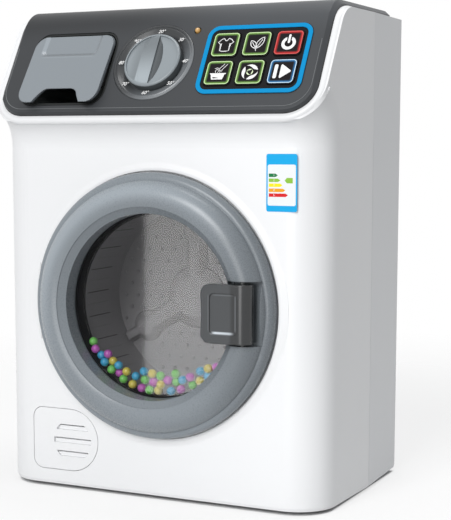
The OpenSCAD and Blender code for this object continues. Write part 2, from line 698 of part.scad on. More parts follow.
module door_ring() color("LightSlateGray") on_door() difference() {
    union() {
        difference() {
            rotate_extrude() ring_section();
            // hollow behind the crest
            rotate_extrude() polygon([[window_r + ring_t, -1], [door_r - 2, -1], [door_r - 2, bead_r],
                [door_r - 3.4, bead_r + 2.2], [crest_at + 9, crest_c + 3.2],
                [crest_at + 4, crest_h - 3.2], [crest_at, crest_h - 2.4],
                [fold_r + 1.6, crest_h - 3.6], [window_r + ring_t, slope_foot - 1]]);
        }
        // pocket walls of the handle slot
        intersection() {
            translate([slot_x0 + 0.8, -slot_z - 2, 0.5])
                cube([slot_x1 - slot_x0 + 1.2, 2 * slot_z + 4, 20]);
            rotate_extrude() ring_section();
        }
        // bosses that hold the hinge pin
        intersection() {
            for (sz = [-1, 1], k = [-1, 1]) translate([hinge_x - 6, sz * knuckle_z + k * 5.1 - 1.2, 0])
                cube([15, 2.4, hinge_y + 5]);
            rotate_extrude() ring_section();
        }
    }
    // slot in the crest, its clearance behind, and the way for the latch arm
    translate([slot_x0 - 2, -slot_z, slot_floor]) cube([slot_x1 - slot_x0 + 2, 2 * slot_z, 30]);
    translate([slot_x0 + 4, -slot_z, -1]) cube([slot_x1 - slot_x0 - 4 - 2, 2 * slot_z, slot_floor - 1]);
    translate([barrel_x - 7, -5.2, -1]) cube([11.2, 10.4, 12]);
    translate([barrel_x, 0, barrel_y]) rotate([90, 0, 0])
        cylinder(d = handle_pin_dia, h = 2 * slot_z + 3.2, center = true);
    // hinge pin and the knuckle notches in the outer wall
    translate([hinge_x, 0, hinge_y]) rotate([90, 0, 0])
        cylinder(d = hinge_pin_dia, h = 2 * knuckle_z + 16, center = true);
    for (sz = [-1, 1]) translate([hinge_x - 9, sz * knuckle_z - 3.3, -1])
        cube([15, 6.6, hinge_y + 4]);
}

module door_hinge_pin() color("Silver") on_door(hinge_x, 0, hinge_y) rotate([90, 0, 0])
    cylinder(d = hinge_pin_dia, h = 2 * knuckle_z + 15, center = true);

module hinge_bracket() color("White") on_face() translate([door_x + hinge_x, 0, door_z])
    difference() {
        union() {
            for (sz = [-1, 1]) translate([0, 0, sz * knuckle_z]) {
                translate([0, -hinge_y, 0]) cylinder(r = 2.5, h = 6, center = true);
                box(-1.5, 1.5, -hinge_y, seat_back + 1, -3, 3);
            }
            box(-4, 8, seat_back, seat_back + 2.4, -knuckle_z - 10, knuckle_z + 10);
        }
        translate([0, -hinge_y, 0])
            cylinder(r = hinge_pin_dia / 2 + shaft_clear, h = 2 * knuckle_z + 20, center = true);
    }

module door_window() color("SlateGray", 0.35) on_door(0, 0, -pane_y0 - pane_t)
    cylinder(r = window_r - 0.05, h = pane_t);

module door_back_frame() color("DimGray") on_door() difference() {
    union() {
        // cup that holds both discs, behind the ring
        translate([0, 0, -door_back - 1]) cylinder(r = window_r + cup_t, h = door_back + 1);
        cylinder(r = window_r + ring_t - 0.1, h = 3);
        // flange that closes the back of the ring
        difference() {
            cylinder(r = door_r - 2.2, h = 1.6);
            for (sz = [-1, 1]) translate([hinge_x - 9, sz * knuckle_z - 3.6, -1])
                cube([15, 7.2, 12]);
            for (sz = [-1, 1], k = [-1, 1])
                translate([hinge_x - 9, sz * knuckle_z + k * 5.1 - 1.35, -1]) cube([20, 2.7, 12]);
            translate([slot_x0 + 0.5, -slot_z - 2.2, -1]) cube([40, 2 * slot_z + 4.4, 12]);
        }
    }
    // bore for the wall of the ring, the bead chamber and the two disc seats
    translate([0, 0, -pane_y0 - pane_t]) cylinder(r = window_r, h = 20);
    translate([0, 0, -0.01]) tube(window_r + ring_t + 0.05, window_r - 1, 20);
    translate([0, 0, -chamber_y1]) cylinder(r = window_r - 0.8, h = chamber_d + 0.1);
    translate([0, 0, -door_back]) cylinder(r = window_r, h = pane_t);
    translate([0, 0, -door_back - 2]) cylinder(r = window_r - 0.8, h = 3);
}

module door_inner_pane() color("LightSteelBlue", 0.3) on_door(0, 0, -door_back)
    cylinder(r = window_r - 0.05, h = pane_t);

// Beads lie on the chamber floor: rows of rings that close up towards the bottom.
module beads() color("LimeGreen") on_door(0, 0, -(chamber_y0 + chamber_y1) / 2)
    for (row = [0:3]) let (r = window_r - 0.8 - bead_dia * (0.53 + row * 1.04),
            step = 2 * asin(bead_dia * 0.53 / r), n = [15, 11, 7, 4][row])
        for (i = [0:n - 1]) rotate([0, 0, -86 + step * (i - (n - 1) / 2)])
            translate([r, 0, (i + row) % 2 ? 0.9 : -0.9]) sphere(d = bead_dia, $fn = 24);

// ---------------------------------------------------------------- handle
module handle_outline() {
    difference() {
        translate([barrel_x - handle_w / 2 + 1, 0]) rounded(handle_w + 2, handle_h, 6);
        translate([barrel_x - handle_w - 60.6, 0]) circle(61.2);
    }
}

module door_handle() color("DimGray") on_door() difference() {
    union() {
        translate([0, 0, handle_out - handle_t]) linear_extrude(handle_t)
            intersection() {
                handle_outline();
                translate([0, -50]) square([barrel_x, 100]);
            }
        translate([barrel_x, 0, barrel_y]) rotate([90, 0, 0])
            cylinder(r = barrel_r, h = handle_h, center = true);
        // latch arm through the ring into the casing
        translate([arm_x, -4, -hook_y - 2]) cube([arm_t, 8, barrel_y + hook_y]);
        translate([arm_x, -4, -hook_y - 2]) cube([arm_t + hook_l, 8, 2]);
    }
    // finger pad sunk into the plate
    translate([barrel_x - handle_w + 15.4, 0, handle_out - 1.2]) linear_extrude(3)
        rounded(19, 25.6, 3);
    translate([barrel_x, 0, barrel_y]) rotate([90, 0, 0])
        cylinder(r = handle_pin_dia / 2 + shaft_clear, h = 60, center = true);
    // room for the coil spring
    translate([barrel_x - 4.6, 7, barrel_y - 8]) cube([9.2, 8, 12.6]);
}

module handle_pin() color("Silver") on_door(barrel_x, 0, barrel_y) rotate([90, 0, 0])
    cylinder(d = handle_pin_dia, h = 2 * slot_z + 3, center = true);

module handle_spring() color("Gainsboro") on_door(barrel_x, 0, barrel_y) {
    for (k = [0:5]) translate([0, 8.2 + k * 0.9, 0]) rotate([90, 0, 0])
        rotate_extrude() translate([2.9, 0]) circle(0.5, $fn = 12);
    translate([2.9, 8.2, 0]) rotate([180, 0, 0]) cylinder(r = 0.5, h = barrel_r + 0.2, $fn = 12);
}

module latch_keeper() color("WhiteSmoke") on_face() translate([door_x + barrel_x, 0, door_z])
    difference() {
        box(-4, 13, keeper_y, keeper_y + 1.2, -keeper_h / 2, keeper_h / 2);
        box(-7, arm_x - barrel_x + arm_t + 0.5, keeper_y - 1, keeper_y + 3, -5.5, 5.5);
    }

module door_seal() color("Black") on_door(0, 0, -seat_back) rotate([180, 0, 0])
    difference() {
        cylinder(r = opening_r + 4, h = 2);
        translate([0, 0, -1]) cylinder(r = opening_r - 1.2, h = 4);
        translate([barrel_x - 9.3, -keeper_h / 2 - 0.3, -1]) cube([23, keeper_h + 0.6, 4]);
    }

// ---------------------------------------------------------------- drum and drive
module tub() color("Gainsboro") on_door(0, 0, 0) rotate([180, 0, 0]) difference() {
    union() {
        translate([0, 0, seat_back + 2]) cylinder(r = tub_r + 2, h = tub_y1 - seat_back - 2);
        translate([0, 0, seat_back + 2]) difference() {
            cylinder(r = tub_r + 8, h = 2);
            translate([barrel_x - 9.4, -keeper_h / 2 - 0.4, -1]) cube([30, keeper_h + 0.8, 4]);
            translate([hinge_x - 20, -knuckle_z - 10.4, -1]) cube([28.4, 2 * knuckle_z + 20.8, 4]);
        }
        translate([0, 0, tub_y1 - 1]) cylinder(r = shaft_dia / 2 + 5, h = 11);
        for (a = [0:72:288]) rotate([0, 0, a])
            translate([shaft_dia / 2 + 4, -1, tub_y1 - 0.5]) cube([tub_r - 12, 2, 4]);
    }
    translate([0, 0, -1]) cylinder(r = tub_r, h = tub_y1 - 1);
    // room for the latch arm
    translate([barrel_x - 9, -7, 0]) cube([30, 14, hook_y + 4]);
    translate([0, 0, tub_y1 - 3]) cylinder(r = shaft_dia / 2 + 2, h = 20);
    for (a = [45:90:315]) rotate([0, 0, a]) translate([tub_r + 4.8, 0, 0])
        cylinder(d = screw_dia, h = 20);
}

module drum() color("DimGray") on_door() rotate([180, 0, 0]) difference() {
    union() {
        translate([0, 0, drum_y0]) cylinder(r = drum_r + drum_t, h = drum_d);
        translate([0, 0, drum_y1 - 1]) cylinder(r = shaft_dia / 2 + 6, h = 6);
    }
    translate([0, 0, drum_y0 - 1]) cylinder(r = drum_r, h = drum_d + 1 - drum_t);
    translate([0, 0, drum_y0]) cylinder(r = shaft_dia / 2, h = drum_d + 20);
    // notches round the front edge and small drain holes in the wall
    for (a = [0:7.5:352.5]) rotate([0, 0, a]) translate([drum_r - 1, -1.6, drum_y0 - 1])
        cube([drum_t + 2, 3.2, 2.6]);
}

// Three blades on the back of the drum: a coned hub, tapered arms and round paddles.
module drum_lifters() color("Gray") on_door() rotate([180, 0, 0])
    translate([0, 0, drum_y1 - drum_t - blade_h]) {
        cylinder(r1 = hub_r - 8, r2 = hub_r, h = blade_h);
        for (a = [30:120:270]) rotate([0, 0, a]) {
            rotate([90, 0, 90]) linear_extrude(drum_r - 1) polygon([[-4.5, blade_h],
                [-2.5, 0.6], [2.5, 0.6], [4.5, blade_h]]);
            rotate([90, 0, 90]) linear_extrude(paddle_at) polygon([[-8, blade_h],
                [-3.5, 0.3], [3.5, 0.3], [8, blade_h]]);
            translate([paddle_at, 0, 0]) cylinder(r1 = paddle_r - 5, r2 = paddle_r, h = blade_h);
        }
    }

module drum_shaft() color("Silver") on_door() rotate([180, 0, 0])
    translate([0, 0, drum_y1 - drum_t]) cylinder(d = shaft_dia, h = pulley_y + 7 - drum_y1 + drum_t);

module shaft_bushing() color("Goldenrod") on_door() rotate([180, 0, 0])
    translate([0, 0, tub_y1 - 2.5]) tube(shaft_dia / 2 + 2, shaft_dia / 2 + shaft_clear, 12.5);

module pulley(r, bore) rotate_extrude() polygon([[bore, 0], [r + 1.2, 0], [r + 1.2, 1], [r, 1.8],
    [r, 4.2], [r + 1.2, 5], [r + 1.2, 6], [bore, 6]]);

module drum_pulley() color("Gainsboro") on_door() rotate([180, 0, 0])
    translate([0, 0, pulley_y]) pulley(pulley_dia / 2, shaft_dia / 2);

module at_motor() on_door() rotate([180, 0, 0]) rotate([0, 0, -motor_angle])
    translate([pulley_gap, 0, 0]) rotate([0, 0, motor_angle]) children();

module motor_pulley() color("Gainsboro") at_motor() translate([0, 0, pulley_y]) {
    pulley(motor_pulley_dia / 2, 1);
    translate([0, 0, 0.5]) cylinder(r = 1, h = 20);
}

module drive_belt() color("Black") on_door() rotate([180, 0, 0]) rotate([0, 0, -motor_angle])
    translate([0, 0, pulley_y + 2]) linear_extrude(2) difference() {
        hull() {
            circle(pulley_dia / 2 + 1.6);
            translate([pulley_gap, 0]) circle(motor_pulley_dia / 2 + 1.6);
        }
        hull() {
            circle(pulley_dia / 2 + 0.05);
            translate([pulley_gap, 0]) circle(motor_pulley_dia / 2 + 0.05);
        }
    }

module motor_bracket() color("Silver") at_motor() rotate([0, 0, 90 - motor_angle]) difference() {
    union() {
        translate([0, 0, pulley_y + 9]) linear_extrude(1.6) rounded(44, 26, 5);
        for (sx = [-1, 1]) translate([sx * 17.5, 0, tub_y1])
            cylinder(d = 6, h = pulley_y + 9 - tub_y1 + 0.5);
    }
    cylinder(r = 4.2, h = pulley_y + 20);
}

module motor() color("Silver") at_motor() translate([0, 0, pulley_y + 10.6]) difference() {
    union() {
        intersection() {
            cylinder(d = motor_dia, h = 27);
            translate([-20, -9, 0]) cube([40, 18, 30]);
        }
        cylinder(d = 8, h = 30);
    }
    translate([0, 0, -1]) cylinder(r = 1 + shaft_clear, h = 20);
}

// ---------------------------------------------------------------- drawer
module drawer_outline(grow = 0) translate([drawer_x, drawer_zc])
    rounded(drawer_w + 2 * grow, drawer_h + 2 * grow, 8 + grow);

module drawer_outline_cut(grow) front_wall_cut(-30, 100) drawer_outline(grow);

// Solid behind the sloping drawer plane, moved back by t.
module behind_drawer_plane(t, y1 = 160) across(body_w) polygon([
    [t - drawer_out - 20 * cos(drawer_tilt), drawer_z0 - 20 * sin(drawer_tilt)],
    [t - drawer_out + 80 * cos(drawer_tilt), drawer_z0 + 80 * sin(drawer_tilt)],
    [y1, drawer_z0 + 80 * sin(drawer_tilt)], [y1, drawer_z0 - 20 * sin(drawer_tilt)]]);

module drawer_front() color("LightSlateGray") on_face() difference() {
    intersection() {
        drawer_outline_cut(0);
        difference() { behind_drawer_plane(0); behind_drawer_plane(drawer_t); }
    }
    // finger notch with sloping sides
    front_wall_cut(-30, 100) translate([drawer_x, drawer_z0]) {
        polygon([[-notch_w / 2, -5], [notch_w / 2, -5], [notch_w / 2, 0],
            [notch_w / 4 + 6, notch_h - 4.3], [notch_w / 4 + 4.8, notch_h - 2.1],
            [notch_w / 4 + 2.8, notch_h - 0.6], [notch_w / 4, notch_h],
            [-notch_w / 4, notch_h], [-notch_w / 4 - 2.4, notch_h - 0.8],
            [-notch_w / 4 - 4.6, notch_h - 2.8], [-notch_w / 2, 0]]);
    }
    // thumb recess with sloping walls, open at the upper edge
    translate([drawer_x - 1.8, -drawer_out, drawer_z0]) rotate([drawer_tilt, 0, 0])
        translate([0, drawer_h / sin(drawer_tilt) + 6, 0]) hull() {
            translate([0, 0, -recess_d]) linear_extrude(0.1) rounded(recess_w - 5, 2 * recess_l + 7, 4);
            translate([0, 0, 0.1]) linear_extrude(2) rounded(recess_w, 2 * recess_l + 12, 5.5);
        }
}

module drawer_tray() color("Gray") on_face() intersection() {
    behind_drawer_plane(drawer_t);
    difference() {
        box(drawer_x - tray_w / 2, drawer_x + tray_w / 2, -30, tray_y1, tray_zb,
            drawer_zc + drawer_h / 2 - 4.5);
        box(drawer_x - tray_w / 2 + 1.6, drawer_x + tray_w / 2 - 1.6, -40, tray_y1 - 1.6,
            tray_zb + 1.6, drawer_zc + drawer_h);
    }
}

module drawer_housing() color("Black") on_face() difference() {
    intersection() {
        front_wall_cut(-30, tray_y1 + 6) drawer_outline(1.9);
        on_panel_local(-body_d - 0.3) translate([-hw_seam, -body_d, 0])
            cube([body_w, 2 * body_d, body_d]);
    }
    difference() {
        front_wall_cut(-40, tray_y1 + 4.4) drawer_outline(0.6);
        // runners that the tray slides on
        for (sx = [-1, 1]) box(drawer_x + sx * drawer_w / 2 - 5.4, drawer_x + sx * drawer_w / 2 + 5.4,
            14, tray_y1 + 5, tray_zb - 3, tray_zb - 0.3);
    }
}

// ---------------------------------------------------------------- dial
module dial_bezel() color("DarkSlateGray") on_panel(dial_x, dial_s) difference() {
    rotate_extrude() polygon([[dial_shaft_dia / 2 + 1, -5], [20, -5], [bezel_dia / 2 - 2.2, -3.2],
        [bezel_dia / 2 - 2.2, -1.2], [bezel_dia / 2, -1.2], [bezel_dia / 2, 0.1],
        [bezel_dia / 2 - 0.5, 0.5], [bezel_dia / 2 - 1.3, 0.5], [bezel_dia / 2 - 1.7, 0],
        [bezel_dia / 2 - 2.6, 0.3], [bezel_dia / 2 - 4.4, -0.8], [bezel_dia / 2 - 6.6, -1.9],
        [knob_r + 0.8, -2.6], [knob_r + 0.8, -3.4], [dial_shaft_dia / 2 + 1, -3.4]]);
}

module dial_knob() color("LightSlateGray") on_panel(dial_x, dial_s) {
    difference() {
        rotate_extrude() polygon([[0, -3], [knob_r, -3], [knob_r, knob_h - 1],
            [knob_r - 0.5, knob_h - 0.3], [knob_r - 1.1, knob_h], [0, knob_h]]);
        // dish on both sides and the slope that climbs to the ridge
        difference() {
            translate([0, 0, knob_h - knob_dish]) cylinder(r = knob_r - knob_rim, h = 5);
            difference() {
                translate([ridge_x - grip_w + 41, 0, -10]) cylinder(r = 41, h = 20);
                translate([ridge_x, -25, -12]) cube([100, 50, 24]);
                rotate([90, 0, 0]) translate([0, 0, -25]) linear_extrude(50)
                    polygon([[ridge_x + 0.01, knob_h], [ridge_x - grip_w, knob_h - knob_dish],
                        [ridge_x - grip_w - 9, knob_h - knob_dish], [ridge_x - grip_w - 9, 20],
                        [ridge_x + 0.01, 20]]);
            }
        }
        // finger hollow with a straight ridge and a round far edge
        intersection() {
            translate([ridge_x + scoop_w - scoop_r, 0, -10]) cylinder(r = scoop_r, h = 20);
            rotate([90, 0, 0]) translate([0, 0, -25]) linear_extrude(50)
                polygon([[ridge_x, knob_h + 0.01], [ridge_x + scoop_w + 0.1,
                    knob_h - (scoop_w + 0.1) * tan(scoop_tilt)], [ridge_x + scoop_w + 0.1, 20],
                    [ridge_x, 20]]);
        }
    }
    translate([0, 0, -13]) cylinder(d = dial_shaft_dia, h = 11);
}

module dial_switch() color("Black") on_panel(dial_x, dial_s, -14) difference() {
    translate([-13, -13, 0]) cube([26, 26, 9]);
    translate([0, 0, 0.7]) cylinder(r = dial_shaft_dia / 2 + shaft_clear, h = 20);
}

// ---------------------------------------------------------------- keys, lamp, board
module keypad_frame() color("DodgerBlue") on_panel(keys_x, keys_s, 0) linear_extrude(0.6)
    difference() {
        rounded(frame_w, frame_h, 8);
        rounded(frame_w - 2 * frame_band, frame_h - 2 * frame_band, 5);
    }

module keypad_plate() color("Black") on_panel(keys_x, keys_s) difference() {
    union() {
        translate([0, 0, -panel_t]) linear_extrude(panel_t + 0.3)
            rounded(frame_w - 2 * frame_band - 0.1, frame_h - 2 * frame_band - 0.1, 5);
        translate([0, 0, -panel_t - 0.8]) linear_extrude(0.8)
            rounded(frame_w - 1, frame_h - 1, 5);
    }
    for (k = key_names) translate([k[0] * key_px, k[1] * key_ps / 2, -9]) linear_extrude(20)
        rounded(key_w + 2 * key_gap, key_h + 2 * key_gap, 3 + key_gap);
}

module key(i) on_panel(keys_x + key_names[i][0] * key_px, keys_s + key_names[i][1] * key_ps / 2) {
    translate([0, 0, -3]) linear_extrude(3.7) rounded(key_w, key_h, 3);
    translate([0, 0, 0.5]) linear_extrude(0.7) rounded(key_w - 1, key_h - 1, 2.6);
    translate([0, 0, -5.3]) linear_extrude(1.2) rounded(key_w + 1.6, key_h + 1.6, 3);
    translate([0, 0, -4.4]) linear_extrude(1.8) rounded(key_w - 4, key_h - 4, 3);
    translate([0, 0, -8.5]) cylinder(r = 3, h = 3.5);
}

module key_shirt() color("DarkOliveGreen") key(0);
module key_leaf() color("DarkOliveGreen") key(1);
module key_power() color("Firebrick") key(2);
module key_tub() color("DarkOliveGreen") key(3);
module key_spin() color("DarkOliveGreen") key(4);
module key_start() color("SteelBlue") key(5);

module circuit_board() color("DarkGreen") on_panel(0, 0, -16) difference() {
    translate([lamp_x - 6, board_posts_s[0] - board_edge, 0])
        cube([board_posts_x[1] + board_edge - lamp_x + 6,
            board_posts_s[1] - board_posts_s[0] + 2 * board_edge, 1.6]);
    for (x = board_posts_x, s = board_posts_s)
        translate([x, s, -1]) cylinder(d = 2.4, h = 4);
}

module key_switches() color("Black") for (k = key_names)
    on_panel(keys_x + k[0] * key_px, keys_s + k[1] * key_ps / 2, -14.4) {
        translate([-3, -3, 0]) cube([6, 6, 3.6]);
        cylinder(r = 1.7, h = 4.6);
    }

module lamp_lens() color("Orange") on_panel(lamp_x, lamp_s) {
    translate([0, 0, -14.4]) cylinder(d = lamp_dia, h = 14.4);
    sphere(d = lamp_dia);
    translate([0, 0, -5]) cylinder(d = lamp_dia + 2.4, h = 2);
}

module speaker() color("DimGray") on_face() translate([vent_x + 1.2, vent_wall + 2, vent_z - 0.5])
    rotate([-90, 0, 0]) {
        tube(speaker_dia / 2, speaker_dia / 2 - 3, 3);
        rotate_extrude() polygon([[0, 5.5], [5, 5], [speaker_dia / 2 - 3, 1.5],
            [speaker_dia / 2 - 1, 1.5], [speaker_dia / 2 - 1, 3], [8.5, 9], [0, 9]]);
        translate([0, 0, 8]) cylinder(r = 8.5, h = 6);
    }

// ---------------------------------------------------------------- batteries
module battery_box() color("White") on_face() difference() {
    box(-cell_l / 2 - 5, cell_l / 2 + 5, bat_y - 2 - cell_dia - 3, bat_y - 2,
        bat_zc - bat_h / 2 - 1.6, bat_zc + bat_h / 2 + 1.6);
    box(-cell_l / 2 - 3.4, cell_l / 2 + 3.4, bat_y - 2 - cell_dia - 1.2, bat_y,
        bat_zc - bat_h / 2, bat_zc + bat_h / 2);
}

module batteries() color("OliveDrab") on_face() for (k = [0:cell_n - 1])
    translate([0, bat_y - 2 - cell_dia / 2 - 1, cell_z + k * (cell_dia + 0.6)])
        mirror([k % 2, 0, 0]) rotate([0, 90, 0]) translate([0, 0, -cell_l / 2]) {
            cylinder(d = cell_dia, h = cell_l - 1.2);
            cylinder(d = 5.4, h = cell_l);
        }

module battery_contacts() color("Silver") on_face() for (sx = [-1, 1], k = [0:cell_n - 1])
    translate([sx * (cell_l / 2 + 2.6), bat_y - 2 - cell_dia / 2 - 1, cell_z + k * (cell_dia + 0.6)]) {
        box(sx > 0 ? 0.2 : -0.8, sx > 0 ? 0.8 : -0.2, -5, 5, -6, 6);
        rotate([0, -sx * 90, 0]) cylinder(r1 = 4, r2 = 2.2, h = 2.5);
    }

module battery_door() color("WhiteSmoke") on_face() difference() {
    union() {
        box(-bat_door_w / 2, bat_door_w / 2, body_d - 2.1, body_d,
            bat_zc - bat_door_h / 2, bat_zc + bat_door_h / 2);
        for (sx = [-1, 1]) box(sx * 18 - 4, sx * 18 + 4, bat_y - 1.9, body_d - 1.9,
            bat_zc - bat_h / 2 + 0.3, bat_zc - bat_h / 2 + 4);
    }
    translate([0, 0, bat_zc + bat_h / 2 + 3.8]) {
        post(body_d - 4, body_d + 1, screw_dia / 2 + 0.2);
        post(body_d - 1.2, body_d + 1, 2.9);
    }
    for (k = [0:3]) box(-12, 12, body_d - 0.6, body_d + 1, bat_zc + 8 - k * 3, bat_zc + 9.2 - k * 3);
}

module battery_screw() color("Silver") on_face() translate([0, 0, bat_zc + bat_h / 2 + 3.8])
    difference() {
        union() {
            post(bat_y - 1.5, body_d - 1, screw_dia / 2 - 0.15);
            post(body_d - 1.2, body_d - 0.1, 2.7);
        }
        for (a = [0, 90]) rotate([0, a, 0]) translate([-1.7, body_d - 0.7, -0.35]) cube([3.4, 2, 0.7]);
    }

front_casing();
rear_casing();
control_fascia();
top_cover();
vent_cover();
hinge_bracket();
door_hinge_pin();
door_ring();
door_window();
door_back_frame();
door_inner_pane();
beads();
door_handle();
handle_pin();
handle_spring();
latch_keeper();
door_seal();
tub();
drum();
drum_lifters();
drum_shaft();
shaft_bushing();
drum_pulley();
drive_belt();
motor_bracket();
motor();
motor_pulley();
drawer_front();
drawer_tray();
drawer_housing();
dial_bezel();
dial_knob();
dial_switch();
keypad_frame();
keypad_plate();
key_shirt();
key_leaf();
key_power();
key_tub();
key_spin();
key_start();
circuit_board();
key_switches();
lamp_lens();
speaker();
battery_box();
batteries();
battery_contacts();
battery_door();
battery_screw();
casing_screws();
feet();
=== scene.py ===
# %% [markdown]
# # A toy washing machine, dressed in Blender
# The solids of the toy come from a CAD model: casing halves, door, drum, drawer,
# dial and keys, each already in its place in metres. This notebook loads them, lights
# them, gives each a finish and adds what a CAD solid can't carry: the play beads, the
# printed signs, the sticker and the marks of the drum.

import random
from math import asin, atan2, copysign, cos, degrees, hypot, pi, radians, sin, tau

import bmesh
import bpy
from mathutils import Euler, Matrix, Vector


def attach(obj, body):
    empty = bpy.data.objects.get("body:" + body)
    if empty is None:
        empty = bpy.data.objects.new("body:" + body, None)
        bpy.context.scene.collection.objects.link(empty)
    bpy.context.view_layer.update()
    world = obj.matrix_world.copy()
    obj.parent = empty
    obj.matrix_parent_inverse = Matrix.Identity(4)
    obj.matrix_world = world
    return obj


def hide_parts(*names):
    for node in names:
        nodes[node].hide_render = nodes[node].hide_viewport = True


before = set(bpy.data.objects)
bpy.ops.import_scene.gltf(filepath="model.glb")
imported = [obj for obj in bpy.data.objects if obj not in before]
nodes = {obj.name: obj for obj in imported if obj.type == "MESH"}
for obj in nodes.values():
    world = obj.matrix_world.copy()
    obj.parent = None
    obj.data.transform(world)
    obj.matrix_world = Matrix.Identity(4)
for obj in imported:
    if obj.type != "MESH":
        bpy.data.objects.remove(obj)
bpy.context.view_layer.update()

# %% [markdown]
# ## Places that come back again and again
# The casing's front face stands 64 mm in front of the origin. The control panel slopes
# back at 59.5 degrees, so a point on it is easiest to say as x across and s up the
# slope, with a height off the surface. The door's centre is the third place. Sizes on the
# toy are in millimetres until a matrix turns them into metres; lamps are set in metres.

# %% Places
MM = 0.001
FACE_Y = -64.0
TILT = radians(59.5)
PANEL_OUT, PANEL_Z = 9.8, 252.0
DOOR_X, DOOR_Z = 2.4, 128.5
PAD_X = 60.3
DRAWER_X, DRAWER_TOP, DRAWER_TILT = -65.2, 303.8, radians(55.4)
DIAL = (-3.2, 38.2)
KNOB_R, KNOB_H, RIDGE_X, GRIP_W = 19.7, 3.2, 1.6, 10.6
SCOOP_W, SCOOP_R = 5.2, 32.14
SCOOP_X = RIDGE_X + SCOOP_W - SCOOP_R
DISH_X = RIDGE_X - GRIP_W
KEYS = (67.4, 38.5)
KEY_PITCH = (21.5, 20.8)


def on_panel(x=0.0, s=0.0, off=0.0):
    """A matrix that lays a flat drawing (in mm) on the panel's surface."""
    y = FACE_Y - PANEL_OUT + s * cos(TILT) - off * sin(TILT)
    z = PANEL_Z + s * sin(TILT) + off * cos(TILT)
    place = Matrix.Translation(Vector((x, y, z)) * MM)
    return place @ Matrix.Rotation(TILT, 4, "X") @ Matrix.Scale(MM, 4)


def on_face(x=0.0, z=0.0, out=0.0):
    """A matrix whose z points out of the flat front of the casing."""
    place = Matrix.Translation(Vector((x, FACE_Y - out, z)) * MM)
    return place @ Matrix.Rotation(pi / 2, 4, "X") @ Matrix.Scale(MM, 4)


def on_door():
    """The same, from the door's centre."""
    return on_face(DOOR_X, DOOR_Z)


def added(name, data):
    """A new object in the scene."""
    piece = bpy.data.objects.new(name, data)
    bpy.context.scene.collection.objects.link(piece)
    return piece


print("panel slopes", round(degrees(TILT), 1), "degrees")

# %% [markdown]
# ## Camera
# The toy is seen a little from the right and from just above the middle, through a long
# lens. Shift moves the picture in its frame without turning the upright edges.

# %% Camera
AZIMUTH, ELEVATION = radians(26.08), radians(6.83)
DISTANCE = 882.9
target = Vector((39.2, FACE_Y, 128.3))
level = cos(ELEVATION)
back = Vector((sin(AZIMUTH) * level, -cos(AZIMUTH) * level, sin(ELEVATION)))
camera_data = bpy.data.cameras.new("camera")
camera_data.sensor_width = 36.0
camera_data.lens = 96.12
camera_data.shift_x = 0.0371
camera_data.shift_y = 0.0948
camera_data.clip_start = 0.05
camera = added("camera", camera_data)
camera.location = (target + back * DISTANCE) * MM
camera.rotation_euler = back.to_track_quat("Z", "Y").to_euler()
bpy.context.scene.camera = camera
print("camera at", [round(v, 3) for v in camera.location])

# %% [markdown]
# ## Light and floor
# Two large soft lamps stand in front, one high and one low, and a third above. The world
# gives an even fill, and camera, gloss and glass see it plain white. The floor is pale,
# keeps a faint shadow of the toy and fades out with distance, so no line shows where it
# ends. Under the casing it doesn't glow, so the gap there stays dark. A strip light shines
# on the window alone, by light linking, and only in its gloss: a pane needs such a long
# reflection before the eye believes in it.

# %% Light and floor
def area_light(name, place, aim, size, power, height=None):
    """A soft round lamp, or an upright rectangle if it has a height."""
    data = bpy.data.lights.new(name, "AREA")
    data.shape, data.size, data.energy = "DISK", size, power
    if height:
        data.shape, data.size_y = "RECTANGLE", height
    lamp = added(name, data)
    lamp.location = place
    lamp.rotation_euler = (Vector(place) - Vector(aim)).to_track_quat("Z", "Y").to_euler()
    return lamp


AIM = (0, 0, 0.16)
STRIP_X, STRIP_Z = -0.116, 0.10
area_light("key_light", (-0.12, -2.8, 1.9), AIM, 1.5, 56)
area_light("front_fill", (0.05, -3.1, 0.3), AIM, 1.6, 23)
area_light("top_light", (0.2, 0.3, 2.4), AIM, 1.2, 18)
strip = area_light("strip_light", (STRIP_X, -0.4, STRIP_Z), (STRIP_X, 0, STRIP_Z), 0.143, 1, height=0.21)
strip.visible_camera = False
strip.visible_diffuse = False
strip_sees = bpy.data.collections.new("strip_light_sees")
strip_sees.objects.link(nodes["door_window"])
strip.light_linking.receiver_collection = strip_sees

scene = bpy.context.scene
scene.view_settings.view_transform = "Standard"
world = bpy.data.worlds.new("studio")
scene.world = world
world.use_nodes = True


class Wire:
    """A shader socket that can stand in a sum, so shader maths reads as Python."""

    def __init__(self, tree, socket=None):
        self.tree, self.socket = tree, socket

    def add(self, kind, settings=None, inputs=None, out=0):
        """Adds a node: its settings first, then values or wires for its sockets."""
        node = self.tree.nodes.new(kind)
        for name, value in (settings or {}).items():
            setattr(node, name, value)
        for key, value in (inputs or {}).items():
            if isinstance(value, Wire):
                self.tree.links.new(value.socket, node.inputs[key])
            else:
                node.inputs[key].default_value = value
        return Wire(self.tree, node.outputs[out])

    def into(self, node, name):
        """Plugs this wire into a socket of an older node."""
        self.tree.links.new(self.socket, node.inputs[name])

    def maths(self, operation, *values, clamp=False):
        """A Math node with values or wires in its sockets."""
        settings = {"operation": operation, "use_clamp": clamp}
        return self.add("ShaderNodeMath", settings, dict(enumerate(values)))

    def __add__(self, other):
        return self.maths("ADD", self, other)

    def __sub__(self, other):
        return self.maths("SUBTRACT", self, other)

    def __rsub__(self, other):
        return self.maths("SUBTRACT", other, self)

    def __mul__(self, other):
        return self.maths("MULTIPLY", self, other)

    def __truediv__(self, other):
        return self.maths("DIVIDE", self, other)

    def __gt__(self, other):
        return self.maths("GREATER_THAN", self, other)

    def __lt__(self, other):
        return self.maths("LESS_THAN", self, other)


